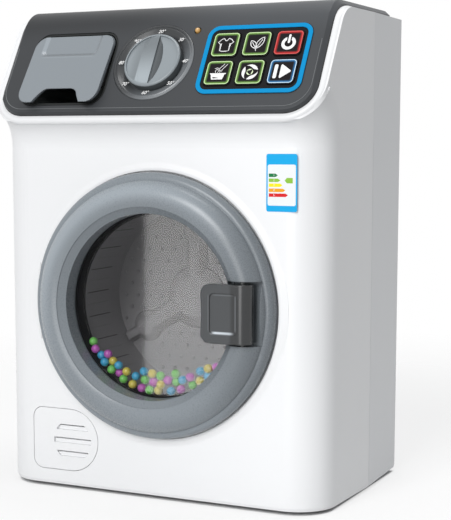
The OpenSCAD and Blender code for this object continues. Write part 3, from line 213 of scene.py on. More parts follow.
def seen_plainly(wire):
    """1 for rays that show the surroundings: camera, mirror and glass rays."""
    path = wire.add("ShaderNodeLightPath").socket.node
    kinds = ("Camera", "Glossy", "Transmission")
    camera_ray, gloss_ray, glass_ray = (Wire(wire.tree, path.outputs[f"Is {kind} Ray"]) for kind in kinds)
    plain_ray = camera_ray + gloss_ray + glass_ray
    return plain_ray.maths("MINIMUM", plain_ray, 1.0)


def ease(wire, start, end, first=0.0, last=1.0):
    """Goes smoothly from first to last while the wire goes from start to end."""
    spread = {0: wire, 1: start, 2: end, 3: first, 4: last}
    return wire.add("ShaderNodeMapRange", {"interpolation_type": "SMOOTHSTEP"}, spread)


def band(wire, start, end, blur):
    """1 between start and end, with soft sides."""
    return ease(wire, start - blur, start + blur) * ease(wire, end - blur, end + blur, 1.0, 0.0)


def length(across, up):
    """How far a point in a plane is from the plane's origin."""
    square = across * across + up * up
    return square.maths("SQRT", square)


def place_in(material):
    """Three wires with the place in the part, in millimetres."""
    at = Wire(material.node_tree).add("ShaderNodeTexCoord", out="Object")
    split = at.add("ShaderNodeSeparateXYZ", inputs={0: at}).socket.node
    return [Wire(at.tree, split.outputs[k]) * 1000.0 for k in range(3)]


world.node_tree.nodes.clear()
sky = Wire(world.node_tree)
plain = sky.add("ShaderNodeBackground", inputs={"Color": (1, 1, 1, 1), "Strength": 1.0})
fill = sky.add("ShaderNodeBackground", inputs={"Color": (0.97, 0.985, 1.0, 1), "Strength": 0.36})
mixed = sky.add("ShaderNodeMixShader", inputs={0: seen_plainly(sky), 1: fill, 2: plain})
mixed.into(world.node_tree.nodes.new("ShaderNodeOutputWorld"), "Surface")

bpy.ops.object.select_all(action="DESELECT")
bpy.ops.mesh.primitive_plane_add(size=12, location=(0, 0, 0))
floor = bpy.context.object
floor.name = "floor"
paint = bpy.data.materials.new("floor_paper")
paint.use_nodes = True
paint.node_tree.nodes.clear()
paper = Wire(paint.node_tree)
lit = paper.add("ShaderNodeBsdfDiffuse", inputs={"Color": (0.72, 0.72, 0.72, 1)})
bright = paper.add("ShaderNodeEmission", inputs={"Color": (1, 1, 1, 1), "Strength": 1.25})
GLOW = 0.52
ROUND_X, ROUND_Y, ROUND_R, REAR_Y = 91.5, -37.0, 26.0, 85.0
FADE_START, FADE_LENGTH = 0.3, 0.5
x, y, _ = place_in(paint)
aside = x.maths("ABSOLUTE", x) - ROUND_X
aside = aside.maths("MAXIMUM", aside, 0.0)
ahead = ROUND_Y - y
ahead = ahead.maths("MAXIMUM", ahead, 0.0)
outside = aside * aside + ahead * ahead
under = ease(outside, (ROUND_R - 2) ** 2, ROUND_R ** 2, 1.0, 0.0)
under = under * ease(y, REAR_Y - 5, REAR_Y, 1.0, 0.0)
glow = seen_plainly(paper) * (GLOW - under * GLOW)
near = paper.add("ShaderNodeMixShader", inputs={0: glow, 1: lit, 2: bright})
here = paper.add("ShaderNodeTexCoord", out="Object")
away = paper.add("ShaderNodeVectorMath", {"operation": "LENGTH"}, {0: here}, out=1)
fade = (away - FADE_START) / FADE_LENGTH
fade = fade.maths("MINIMUM", fade, 1.0, clamp=True)
open_air = paper.add("ShaderNodeBsdfTransparent")
blend = paper.add("ShaderNodeMixShader", inputs={0: fade, 1: near, 2: open_air})
blend.into(paint.node_tree.nodes.new("ShaderNodeOutputMaterial"), "Surface")
floor.data.materials.append(paint)
print("three lamps, a strip light and a paper floor")

# %% [markdown]
# ## Moulded plastic
# Nearly every piece is injection moulded. Such a skin is never quite even: the colour
# drifts a little, the surface has a faint orange peel, and the mould leaves a fine
# grain. Real edges are never sharp either, so a Bevel node rounds the shading of each
# edge; that catches the light as a small radius does and leaves the mesh alone. One recipe
# makes all of them.

# %% Finishes
SLOW_SCALE, WAVY_SCALE, FINE_SCALE = 11.0, 190.0, 500 / 0.35


def moulded(name, colour, rough=0.4, grain=0.0, peel=0.02, drift=0.02, metal=0.0, coat=0.0, alpha=1.0,
            ior=1.46, soft=0.4, gloss=0.5):
    """A moulded plastic: base colour with a slow drift, orange peel and fine grain."""
    material = bpy.data.materials.new(name)
    material.use_nodes = True
    tree = material.node_tree
    skin = tree.nodes["Principled BSDF"]
    values = {"Metallic": metal, "IOR": ior, "Specular IOR Level": gloss, "Coat Weight": coat, "Alpha": alpha}
    for socket, value in values.items():
        skin.inputs[socket].default_value = value
    wire = Wire(tree)
    at = wire.add("ShaderNodeTexCoord", out="Object")
    slow = wire.add("ShaderNodeTexNoise", inputs={"Vector": at, "Scale": SLOW_SCALE, "Detail": 2.0})
    fine = wire.add("ShaderNodeTexNoise", inputs={"Vector": at, "Scale": FINE_SCALE, "Detail": 1.0})
    wavy = wire.add("ShaderNodeTexNoise", inputs={"Vector": at, "Scale": WAVY_SCALE, "Detail": 1.0})
    low = tuple(c * (1 - drift) for c in colour) + (1,)
    high = tuple(min(1.0, c * (1 + drift)) for c in colour) + (1,)
    shade = wire.add("ShaderNodeMix", {"data_type": "RGBA"}, {0: slow, 6: low, 7: high}, out=2)
    shade.into(skin, "Base Color")
    (fine * 0.08 + slow * 0.06 + (rough - 0.07)).into(skin, "Roughness")
    inputs = {"Height": wavy * peel + fine * grain, "Strength": 0.5, "Distance": 0.0006}
    if soft:
        inputs["Normal"] = wire.add("ShaderNodeBevel", {"samples": 4}, {"Radius": soft * MM})
    wire.add("ShaderNodeBump", inputs=inputs).into(skin, "Normal")
    return material


def skin_of(material):
    """The Principled node of a material, and the wire of its base colour."""
    skin = material.node_tree.nodes["Principled BSDF"]
    return skin, Wire(material.node_tree, skin.inputs["Base Color"].links[0].from_socket)


def dress(material, *names):
    """Gives one finish to pieces of the CAD model."""
    for name in names:
        mesh = nodes[name].data
        mesh.materials.clear()
        mesh.materials.append(material)
    print(material.name, "on", ", ".join(names))


WHITE = (0.80, 0.805, 0.815)
white = moulded("white_shell", WHITE, rough=0.34, peel=0.03, drift=0.01, soft=0.7)
front_white = moulded("front_white", WHITE, rough=0.34, peel=0.03, drift=0.01, soft=0.0)
panel_grey = moulded("panel_grey", (0.040, 0.043, 0.047), rough=0.44, grain=0.05, drift=0.05, soft=0.6,
                     gloss=0.35)
GREY = (0.215, 0.240, 0.262)
ring_grey = moulded("ring_grey", GREY, rough=0.28, grain=0.03, soft=0.6)
drawer_grey = moulded("drawer_grey", GREY, rough=0.3, grain=0.03, soft=1.0, gloss=0.6)
handle_grey = moulded("handle_grey", (0.050, 0.054, 0.058), rough=0.24, grain=0.03, drift=0.04, soft=1.2,
                      gloss=0.7)
knob_grey = moulded("knob_grey", (0.255, 0.285, 0.305), rough=0.34, grain=0.02, soft=0.5)
bezel_grey = moulded("bezel_grey", (0.045, 0.048, 0.051), rough=0.30, grain=0.02, drift=0.04, soft=0.3)
dark = moulded("dark_plastic", (0.010, 0.010, 0.011), rough=0.5, grain=0.05, drift=0.05, gloss=0.1)
# The housing's colour is lighter than its dark plastic: painted light in the deep, unlit notch behind the
# drawer.
housing_dark = moulded("housing_dark", (0.15, 0.165, 0.165), rough=0.5, grain=0.05, drift=0.05, gloss=0.2)
rubber = moulded("black_rubber", (0.015, 0.015, 0.015), rough=0.7, grain=0.12, drift=0.1)
steel = moulded("steel", (0.55, 0.55, 0.56), rough=0.3, metal=1.0, grain=0.02, soft=0.15)

dress(white, "front_casing", "vent_cover", "hinge_bracket", "latch_keeper")
dress(moulded("rear_shell", (0.76, 0.77, 0.785), rough=0.42, grain=0.04, drift=0.012, soft=0.7),
      "rear_casing", "battery_door", "battery_box")
dress(panel_grey, "control_fascia", "top_cover")
dress(ring_grey, "door_ring")
dress(drawer_grey, "drawer_front")
dress(handle_grey, "door_handle", "handle_pin")
dress(knob_grey, "dial_knob")
dress(bezel_grey, "dial_bezel")
dress(housing_dark, "drawer_housing")
dress(dark, "door_back_frame", "dial_switch", "keypad_plate", "key_switches", "speaker")
dress(moulded("pale_plastic", (0.6, 0.6, 0.59), rough=0.5, grain=0.04),
      "tub", "drum_pulley", "motor_pulley")
dress(rubber, "door_seal", "drive_belt", "feet")
dress(steel, "door_hinge_pin", "handle_spring", "drum_shaft", "motor_bracket", "motor")
dress(steel, "battery_contacts", "battery_screw", "casing_screws")
dress(moulded("sintered_bronze", (0.5, 0.33, 0.15), rough=0.45, metal=1.0, grain=0.1), "shaft_bushing")
dress(moulded("frame_blue", (0.002, 0.26, 0.56), rough=0.42, soft=0.2, gloss=0.15), "keypad_frame")
dress(moulded("key_dark", (0.010, 0.008, 0.009), rough=0.36, grain=0.02, soft=0.4, gloss=0.12),
      "key_shirt", "key_leaf", "key_power", "key_tub", "key_spin", "key_start")
dress(moulded("board_green", (0.02, 0.14, 0.05), rough=0.35, grain=0.05), "circuit_board")
dress(moulded("cell_sleeve", (0.06, 0.12, 0.05), rough=0.3, coat=0.3), "batteries")
dress(moulded("lamp_amber", (0.60, 0.34, 0.10), rough=0.2, coat=0.6, soft=0.0), "lamp_lens")

# %% [markdown]
# ## Painted light and shade over a piece
# Several pieces get light and shade painted into their colour: painted highlights, and painted
# shade in hollows and on sides that turn from the lamps. `place_in` gives the place in the part,
# `ease` and `band` make soft masks of it, and `toned` scales the base colour by the sum of the masks.

# %% Painted light and shade
# toned paints light or shade: it scales the base colour by a mask of the place in the part.
def toned(material, factor):
    """Scales the base colour of a material by a wire."""
    skin, colour = skin_of(material)
    scaled = {"Vector": colour, "Scale": factor}
    product = colour.add("ShaderNodeVectorMath", {"operation": "SCALE"}, scaled)
    product.into(skin, "Base Color")
    print("painted light and shade on", material.name)


# Painted light: the white front is lightened by up to 8 percent towards its right and shaded again on its
# round right corner.
x, _, _ = place_in(front_white)
toned(front_white, ease(x, -60.0, 105.0, 1.0, 1.08) - ease(x, 112.0, 118.0, 0.0, 0.06))

# Painted reflection on the dark panel: lighter towards the right, and along its top band darker on the left
# and lighter on the right.
x, _, z = place_in(panel_grey)
panel_top_sheen = ease(z, 298.0, 316.0)
toned(panel_grey, ease(x, -113.0, 113.0, 0.88, 1.18) + panel_top_sheen * ease(x, -30.0, 60.0, -0.32, 0.40))

# Painted light on the ring: a painted highlight along its crest on the upper left, painted shade on its right
# side, and its lowest part lightened by a tenth.
x, _, z = place_in(ring_grey)
x, z = x - DOOR_X, z - DOOR_Z
from_middle = length(x, z)
crest_highlight = ease(from_middle, 67.0, 75.0) * ease(from_middle, 76.0, 84.0, 1.0, 0.0)
lit_side = ease(z * 0.8 - x * 0.6, -10.0, 70.0)
far_side_shade = ease(x, 35.0, 80.0, 0.0, 0.26)
toned(ring_grey, crest_highlight * lit_side * 0.42 - far_side_shade + ease(z, -85.0, -50.0, 1.10, 1.0))

# Painted highlights on the edges of the recessed pad, brightest along its foot, and painted shade on the
# round barrel to the right.
x, _, z = place_in(handle_grey)
x, z = x - PAD_X, z - DOOR_Z
pad_middle = band(x, -6.5, 6.5, 2.0)
pad_foot_glint = band(z, -12.6, -11.2, 0.5) * pad_middle * ease(x, -9.0, 9.0, 1.0, 0.75)
pad_side_glints = band(z, -10.5, 11.5, 1.0) * (band(x, -9.4, -8.7, 0.3) * 0.8 + band(x, 8.4, 9.2, 0.3) * 1.6)
pad_head_glint = band(z, 11.4, 12.3, 0.4) * pad_middle
barrel_shade = ease(x, 64.5 - PAD_X, 67.5 - PAD_X, 1.0, 0.40)
toned(handle_grey, pad_foot_glint * 13.0 + pad_side_glints + pad_head_glint * 1.2 + barrel_shade)

# Painted light and shade in the drawer's thumb recess: left wall lighter, right wall and foot wall darker,
# and a painted glint just below the foot.
x, _, z = place_in(drawer_grey)
x, down = x - (DRAWER_X - 1.8), (z - DRAWER_TOP) * (1 / sin(DRAWER_TILT))
above_foot, between_walls = ease(down, -15.5, -12.5), band(x, -19.5, 19.5, 2.0)
left_wall_light = band(x, -21.8, -19.6, 0.5) * above_foot
right_wall_shade = band(x, 19.4, 21.6, 0.5) * above_foot
foot_wall_shade = band(down, -16.2, -14.4, 0.4) * between_walls
foot_glint = band(down, -17.4, -16.7, 0.3) * between_walls
sides = left_wall_light * 0.40 - right_wall_shade * 0.12
toned(drawer_grey, sides - foot_wall_shade * 0.30 + foot_glint * 0.14 + 1.0)


def over_dial(material):
    """The place on the panel from the dial's middle: across, up the slope, and off it."""
    x, y, z = place_in(material)
    y, z = y - (FACE_Y - PANEL_OUT), z - PANEL_Z
    up = y * cos(TILT) + z * sin(TILT)
    return x - DIAL[0], up - DIAL[1], z * cos(TILT) - y * sin(TILT)


# Painted highlight: the dark dial surround grows up to four times lighter towards its lower right.
u, v, _ = over_dial(bezel_grey)
toned(bezel_grey, ease(u * 0.75 - v * 0.66, -2.0, 25.0, 0.9, 4.2))

# Painted light and shade on the knob: the grip ridge lighter towards the bottom and darker at the top, the
# dish lighter to the left and darker by the ridge, and painted shade in the scoop right of the ridge and on
# the knob's round side.
u, v, off = over_dial(knob_grey)
reach = length(u, v)
to_arc = (u - SCOOP_X) * (u - SCOOP_X) + v * v
hollow_shade = ease(to_arc, (SCOOP_R - 0.4) ** 2, SCOOP_R ** 2, 1.0, 0.0)
hollow_shade = ease(u, RIDGE_X - 0.2, RIDGE_X + 0.2) * hollow_shade
grip_light_and_shade = band(u, DISH_X, RIDGE_X, 0.3)
dish_light_and_shade = ease(u, DISH_X - 0.4, DISH_X + 0.4, 1.0, 0.0)
skirt_shade = ease(reach, KNOB_R - 1.1, KNOB_R - 0.5) * ease(off, KNOB_H - 1.6, KNOB_H - 0.8, 1.0, 0.0)
inside = ease(reach, KNOB_R - 3.2, KNOB_R - 1.2, 1.0, 0.0)
dish_light_and_shade = dish_light_and_shade * ease(u, -19.0, DISH_X, 0.06, -0.26)
tone = grip_light_and_shade * ease(v, -14.0, 13.0, 0.38, -0.34) + dish_light_and_shade + 1.0
toned(knob_grey, ((tone - hollow_shade * 0.66 - 1.0) * inside + 1.0) * (1.0 - skirt_shade * 0.72))

# Near the panel's surface the housing is scaled back to its own dark; deeper in, the painted light stays.
_, _, off = over_dial(housing_dark)
toned(housing_dark, ease(off, -5.0, -2.5, 1.0, 0.12))

# %% [markdown]
# ## Grooved drum
# The real drum has straight grooves along its wall, a strong and a faint one in turn. They
# are too fine to model, so the material paints their shade: the angle round the drum's axis is
# cut into 24 parts, each with a dark slice of painted shade at its start and a fainter one at its middle.

# %% Drum finish
PARTS, STRONG, FAINT, FAINT_SHARE = 24, 0.045, 0.02, 0.45
WALL_R, WALL_START, WALL_END = 60.5, 19.0, 47.0
GROOVE_SHADE_COLOUR, GROOVE_SHADE_SHARE = (0.008, 0.008, 0.009, 1), 0.75


def grooved(name, colour):
    """A moulded plastic with the shade of grooves painted along the wall of the drum."""
    material = moulded(name, colour, rough=0.45, grain=0.05, drift=0.04, soft=0.5, gloss=0.35)
    x, y, z = place_in(material)
    x, depth, z = x - DOOR_X, y - FACE_Y, z - DOOR_Z
    turn = x.maths("ARCTAN2", z, x) * (PARTS / tau)
    part = turn.maths("FRACT", turn + 100.25)
    slices = (part < STRONG) + (part > 0.5) * (part < 0.5 + FAINT) * FAINT_SHARE
    # The dark slices are painted shade of the grooves.
    groove_shade_mask = slices * (length(x, z) > WALL_R) * (depth > WALL_START) * (depth < WALL_END)
    skin, old = skin_of(material)
    blend = {0: groove_shade_mask * GROOVE_SHADE_SHARE, 6: old, 7: GROOVE_SHADE_COLOUR}
    old.add("ShaderNodeMix", {"data_type": "RGBA"}, blend, out=2).into(skin, "Base Color")
    return material


DRUM_GREY = (0.30, 0.295, 0.305)
drum_grey = grooved("drum_grey", DRUM_GREY)
blade_grey = moulded("blade_grey", DRUM_GREY, rough=0.42, grain=0.04, drift=0.04, soft=2.5, gloss=0.35)
tray_grey = moulded("tray_grey", (0.15, 0.15, 0.153), rough=0.45, grain=0.04, drift=0.04)
dress(drum_grey, "drum")
dress(blade_grey, "drum_lifters")
dress(tray_grey, "drawer_tray")

# %% [markdown]
# ## Clear window
# The window is a smoked clear disc. Glass in Cycles bends every ray twice, which is slow
# and lightens nothing behind it, so the disc is a thin film: mostly see-through, a
# little grey, with a sharp reflection that grows at a flat angle of view.

# %% Window
def clear(name, alpha, ior, gloss):
    """A smoked, see-through plastic with an even gloss."""
    tint = (0.02, 0.02, 0.022)
    material = moulded(name, tint, peel=0.0, drift=0.01, alpha=alpha, ior=ior, soft=0.0, gloss=gloss)
    skin, _ = skin_of(material)
    material.node_tree.links.remove(skin.inputs["Roughness"].links[0])
    skin.inputs["Roughness"].default_value = 0.05
    return material


dress(clear("window_clear", alpha=0.10, ior=1.5, gloss=1.0), "door_window")
dress(clear("pane_clear", alpha=0.04, ior=1.3, gloss=0.5), "door_inner_pane")

# %% [markdown]
# ## Handling pieces
# Nearly every piece below is modelled in millimetres at the world's origin and then laid in
# its place by a matrix that also turns millimetres into metres. Its object stays at the
# origin; only its mesh moves.

# %% Helpers
def fresh():
    """Out of edit mode with nothing selected, ready for the next primitive."""
    if bpy.context.object and bpy.context.object.mode != "OBJECT":
        bpy.ops.object.mode_set(mode="OBJECT")
    bpy.ops.object.select_all(action="DESELECT")


def pick(piece):
    """Selects one piece alone and makes it active."""
    fresh()
    piece.select_set(True)
    bpy.context.view_layer.objects.active = piece


def edit(action):
    """Into edit mode, with everything or nothing selected."""
    bpy.ops.object.mode_set(mode="EDIT")
    bpy.ops.mesh.select_all(action=action)


def bevel_where(parts, wanted, offset, segments):
    """Bevels the edges or faces of the piece in edit mode for which wanted is true."""
    form = bmesh.from_edit_mesh(bpy.context.object.data)
    for part in getattr(form, parts):
        part.select_set(wanted(part))
    bmesh.update_edit_mesh(bpy.context.object.data)
    bpy.ops.mesh.bevel(offset=offset, segments=segments)


def closed_piece(name, points, faces, place=Matrix.Identity(4)):
    """A piece from points and faces, with its normals turned outwards."""
    mesh = bpy.data.meshes.new(name)
    mesh.from_pydata([tuple(p) for p in points], [], faces)
    mesh.transform(place)
    piece = added(name, mesh)
    pick(piece)
    edit("SELECT")
    bpy.ops.mesh.normals_make_consistent(inside=False)
    bpy.ops.object.mode_set(mode="OBJECT")
    return piece


def settle(piece, name, body, place, material):
    """Gives a finished piece its name, place, finish and body."""
    piece.name = piece.data.name = name
    piece.data.transform(piece.matrix_world)
    piece.matrix_world = Matrix.Identity(4)
    piece.data.transform(place)
    piece.data.materials.append(material)
    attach(piece, body)
    return piece


def joined(copies):
    """Many placed copies become one piece at the origin."""
    fresh()
    bpy.context.view_layer.update()
    for piece in copies:
        piece.data.transform(piece.matrix_world)
        piece.matrix_world = Matrix.Identity(4)
        piece.select_set(True)
    bpy.context.view_layer.objects.active = copies[0]
    bpy.ops.object.join()
    return bpy.context.object


print("helpers ready")

# %% [markdown]
# ## Chin
# Under the panel the real front shell swells into a chin: a soft white roll that follows
# the panel round its lower corners, with a hollow sweep that leads back into the face. The
# solid has the same chin with square ends. Here they are rounded off: one lofted sheet
# gives the wanted surface, a filler under it is joined to the shell, and what still stands
# outside it is cut away. The sheet's foot is sunk a little into the face and the cutter
# starts above it, so no ledge is left there.

# %% Chin surface
FRONT_DRAFT = 1.5
HALF_FRONT, CORNER, SEAM = 120 - FRONT_DRAFT, 27.0, 84.0
FLAT_Z, FLAT_RISE, FLAT_MOVE = 233.9, 13.8, 22.1
PANEL_HALF, PANEL_R, PANEL_S0 = 113.4, 20.0, 0.7
LIP_SINK = 3.5
FOOT_Z, SWEEP_TOP_Z, FOOT_LIFT = 229.0, 245.0, 0.2
SWEEP, SWEEP_STEPS = radians(58), 14
SHELL_FRAME = Matrix.Translation((0, FACE_Y * MM, 0)) @ Matrix.Scale(MM, 4)
SLOPE = (cos(TILT), sin(TILT))


def side_x(y, z=260.0):
    """Half the width of the shell: its side opens from the round corner to the seam."""
    up = min(1.0, max(0.0, (z - FLAT_Z) / FLAT_RISE))
    start = CORNER - FLAT_MOVE * up ** 1.5
    return HALF_FRONT + FRONT_DRAFT * max(0.0, y - start) / (SEAM - start)


def panel_point(x, s, off):
    """A point in the panel's own plane, in millimetres from the face."""
    y = -PANEL_OUT + s * SLOPE[0] - off * SLOPE[1]
    return Vector((x, y, PANEL_Z + s * SLOPE[1] + off * SLOPE[0]))


ROLL = [(-0.6, 0.0), (0.2, 0.5), (1.1, 0.85), (2.5, 0.85), (3.7, 0.35), (4.7, -0.8), (5.1, -2.5)]
ROLL_REACH = ROLL[-1][0]
TURNS = [90 * k / 32 for k in range(33)]


def corner_point(side, turn, d, rise):
    """A point d outside the panel's edge at a turn of its round lower corner."""
    a = radians(turn)
    x = PANEL_HALF - PANEL_R + (PANEL_R + d) * sin(a)
    s = PANEL_S0 + PANEL_R - (PANEL_R + d) * cos(a)
    return panel_point(side * x, s, rise - LIP_SINK)


def widen(d, reach):
    """The roll's profile, stretched so that it ends reach from the panel."""
    return d * reach / ROLL_REACH if d > 0 else d


def reach_at(turn):
    """How far the roll reaches out of the panel at a turn of the lower corner."""
    return ROLL_REACH + (HALF_FRONT - PANEL_HALF - ROLL_REACH) * turn / 90


def sweep_column(side, turn, x=None, lowest=0.0, sink=0.0):
    """From the face up the hollow sweep to the roll's lower edge."""
    a = radians(turn)
    top = corner_point(side, turn, reach_at(turn), ROLL[-1][1])
    foot_x = side * (HALF_FRONT - CORNER + CORNER * sin(a))
    foot_z = FOOT_Z + (top.z - SWEEP_TOP_Z) * FOOT_LIFT
    foot = Vector((foot_x, CORNER - CORNER * cos(a), foot_z))
    if x is not None:
        top.x = foot.x = x
    rise = top.z - foot.z
    first = asin(max(0.0, (lowest - foot.z) / rise) * sin(SWEEP))
    out = []
    for k in range(SWEEP_STEPS + 1):
        bend = first + (SWEEP - first) * k / SWEEP_STEPS
        up = sin(bend) / sin(SWEEP)
        forward = (1 - cos(bend)) / (1 - cos(SWEEP))
        p = foot + (top - foot) * forward
        p.z = foot.z + rise * up
        p.x += side * (side_x(p.y, p.z) - HALF_FRONT) * (turn / 90) ** 2
        out.append(p)
    out[0] -= Vector((side * sin(a), -cos(a), 0)) * sink
    return out


def sheet(**ends):
    """The whole sweep: round the left corner, straight along the front, round the right corner."""
    left = [sweep_column(-1, t, **ends) for t in reversed(TURNS)]
    middle = [sweep_column(1, 0, x, **ends) for x in range(-90, 91, 20)]
    return left + middle + [sweep_column(1, t, **ends) for t in TURNS]


def grid_solid(name, columns, inner, outer, flush_below=0.0):
    """A closed slab on both sides of a grid; each column moves straight outwards."""
    n, m = len(columns), len(columns[0])
    away = []
    for column in columns:
        turn = asin(min(1.0, max(0.0, (abs(column[0].x) - HALF_FRONT + CORNER) / CORNER)))
        away.append(Vector((copysign(sin(turn), column[0].x), -cos(turn), 0.2)))
    points = [p + away[i] * inner for i in range(n) for p in columns[i]]
    points += [p + away[i] * (outer if p.z > flush_below else 0.0) for i in range(n) for p in columns[i]]

    def at(layer, i, j):
        return layer * n * m + i * m + j

    faces = [[at(1, i, j), at(1, i + 1, j), at(1, i + 1, j + 1), at(1, i, j + 1)] for i in range(n - 1)
             for j in range(m - 1)]
    faces += [[at(0, i, j + 1), at(0, i + 1, j + 1), at(0, i + 1, j), at(0, i, j)] for i in range(n - 1)
              for j in range(m - 1)]
    for i in range(n - 1):
        faces += [[at(0, i, 0), at(0, i + 1, 0), at(1, i + 1, 0), at(1, i, 0)],
                  [at(1, i, m - 1), at(1, i + 1, m - 1), at(0, i + 1, m - 1), at(0, i, m - 1)]]
    for j in range(m - 1):
        faces += [[at(1, 0, j), at(1, 0, j + 1), at(0, 0, j + 1), at(0, 0, j)],
                  [at(0, n - 1, j), at(0, n - 1, j + 1), at(1, n - 1, j + 1), at(1, n - 1, j)]]
    return closed_piece(name, points, faces, SHELL_FRAME)


FOOT_SINK, CUT_FROM = 0.06, 233.2
whole = sheet(sink=FOOT_SINK)
upper_part = sheet(lowest=CUT_FROM)
print("chin sheet", len(whole), "by", len(whole[0]))

# %% Chin joined and cut
PAST, CLEAR = 1.5, 0.02
filler = grid_solid("chin_filler", whole, inner=-2.5, outer=1.0, flush_below=235.0)
past_ends = []
for side, end in ((-1, upper_part[0]), (1, upper_part[-1])):
    past_ends.append([Vector((side * (side_x(p.y + PAST, p.z) + CLEAR), p.y + PAST, p.z)) for p in end])
cut_columns = [past_ends[0]] + upper_part + [past_ends[1]]
cutter = grid_solid("chin_cutter", cut_columns, inner=0.0, outer=14.0)
shell = added("front_shell", nodes["front_casing"].data.copy())
pick(shell)
edit("SELECT")
bpy.ops.mesh.remove_doubles(threshold=1e-6)
bpy.ops.object.mode_set(mode="OBJECT")
bpy.ops.mesh.customdata_custom_splitnormals_clear()
for tool, operation in ((filler, "UNION"), (cutter, "DIFFERENCE")):
    step = shell.modifiers.new(operation, "BOOLEAN")
    step.object, step.operation, step.solver = tool, operation, "EXACT"
    step.use_self = True
    bpy.ops.object.modifier_apply(modifier=step.name)
    bpy.data.objects.remove(tool)
    print("chin", operation, len(shell.data.polygons), "faces")
edit("SELECT")
bpy.ops.mesh.separate(type="LOOSE")
bpy.ops.object.mode_set(mode="OBJECT")
islands = sorted(bpy.context.selected_objects, key=lambda piece: len(piece.data.polygons))
shell = islands.pop()
for crumb in islands:
    bpy.data.objects.remove(crumb)
print("crumbs of the cut removed:", len(islands))
pick(shell)
bpy.ops.object.shade_smooth_by_angle(angle=radians(28))
even = shell.modifiers.new("even", "WEIGHTED_NORMAL")
even.keep_sharp, even.weight = True, 80
bpy.ops.object.modifier_apply(modifier=even.name)
shell.name = shell.data.name = "front_shell"
shell.data.materials.clear()
shell.data.materials.append(front_white)
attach(shell, "casing")
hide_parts("front_casing")
print("front shell", len(shell.data.polygons), "faces")

# %% [markdown]
# ## Roll round the panel
# The roll itself is one bead of even profile. Its path runs down one side of the panel,
# round the lower corners and up the other side, and bends over the top with the shell. At
# each station of the path the profile is set square to it, and the rings are bridged. Two
# thin lines run the same way: a black bead in the gap beside the panel is painted shade of
# that gap, and a pale grey ridge on the panel's lower edge is a painted highlight.

# %% Roll
BEND_Y, BEND_Z, BEND_R = 44.56, 297.0, 20.5
FADE_Y, FADE_RUN, FADE_DROP = 60.0, 22.0, 0.3


def beside_panel(side, d, y):
    """Across, at d outside the panel's upright edge; the profile ends on the shell's side."""
    return side * (PANEL_HALF + widen(d, side_x(y) - PANEL_HALF))


def ring_at(station, profile, sink=LIP_SINK):
    """A closed profile set square to the panel's edge at one station."""
    kind, side, value = station
    ring = []
    for d, rise in profile:
        if kind == "corner":
            p = corner_point(side, value, widen(d, reach_at(value)), rise + LIP_SINK - sink)
        elif kind == "bottom":
            p = corner_point(1, 0, d, rise + LIP_SINK - sink)
            p.x = value
        elif kind == "side":
            y = panel_point(0, value, -LIP_SINK).y
            p = panel_point(beside_panel(side, d, y), value, rise - sink)
        elif kind == "bend":
            a = TILT - radians(value)
            y, z = BEND_Y - (BEND_R + rise) * sin(a), BEND_Z + (BEND_R + rise) * cos(a)
            p = Vector((beside_panel(side, d, y), y, z))
        else:
            fade = 1 - max(0.0, value - FADE_Y) / FADE_RUN
            lift = rise * (fade if rise > 0 else 1) - FADE_DROP * (1 - fade)
            p = Vector((beside_panel(side, d, value), value, BEND_Z + BEND_R + lift))
        ring.append(p)
    return ring


def run_round_panel(name, profile, ends, material, sink=LIP_SINK):
    """Bridges the profile's rings along the path, which is the same on both sides."""
    right = [("corner", 1, t) for t in TURNS] + ends
    stations = [(kind, -1, value) for kind, side, value in reversed(right)]
    stations += [("bottom", 1, x) for x in range(-80, 81, 20)] + right
    rings = [ring_at(station, profile, sink) for station in stations]
    n, m = len(rings), len(profile)
    faces = [[i * m + j, i * m + (j + 1) % m, (i + 1) * m + (j + 1) % m, (i + 1) * m + j]
             for i in range(n - 1) for j in range(m)]
    faces += [list(range(m)), list(range((n - 1) * m, n * m))[::-1]]
    piece = closed_piece(name, [p for ring in rings for p in ring], faces)
    bpy.ops.object.shade_smooth_by_angle(angle=radians(50))
    print(name, "of", n, "rings")
    return settle(piece, name, "casing", SHELL_FRAME, material)


straight = [("side", 1, s) for s in (28, 36, 44, 52, 60, 66.2)]
bend = [("bend", 1, degrees(TILT) * k / 8) for k in range(1, 9)]
over_top = [("top", 1, y) for y in (50, 60, 71, 82)]
under_side = [(4.2, -4.0), (1.5, -4.0), (-0.6, -2.0)]
# The gap line is a black bead of painted shade; the edge line is a pale ridge of painted highlight.
gap_shade_profile = [(-0.75, 0.3), (-0.75, 0.95), (-0.1, 1.05), (0.35, 0.3)]
edge_highlight_profile = [(-3.7, -0.2), (-3.7, 0.04), (-3.35, 0.08), (-3.35, -0.2)]
run_round_panel("chin_roll", ROLL + under_side, straight + bend + over_top, white)
run_round_panel("panel_gap_shade", gap_shade_profile, straight + bend, rubber)
edge_highlight_grey = moulded("panel_edge_grey", (0.16, 0.17, 0.175), rough=0.3, grain=0.02, soft=0.2, gloss=0.6)
run_round_panel("panel_edge_highlight", edge_highlight_profile, straight[:4], edge_highlight_grey, sink=0.0)

# %% [markdown]
# ## Play beads
# Small shiny beads in four colours lie at the bottom of the gap between the two clear
# discs. A moulded bead shows the line where the halves of its mould met, so it starts as a
# UV sphere and its equator is bevelled into a narrow band that stands a little proud. One
# bead is made for each colour and copied to where the others lie.

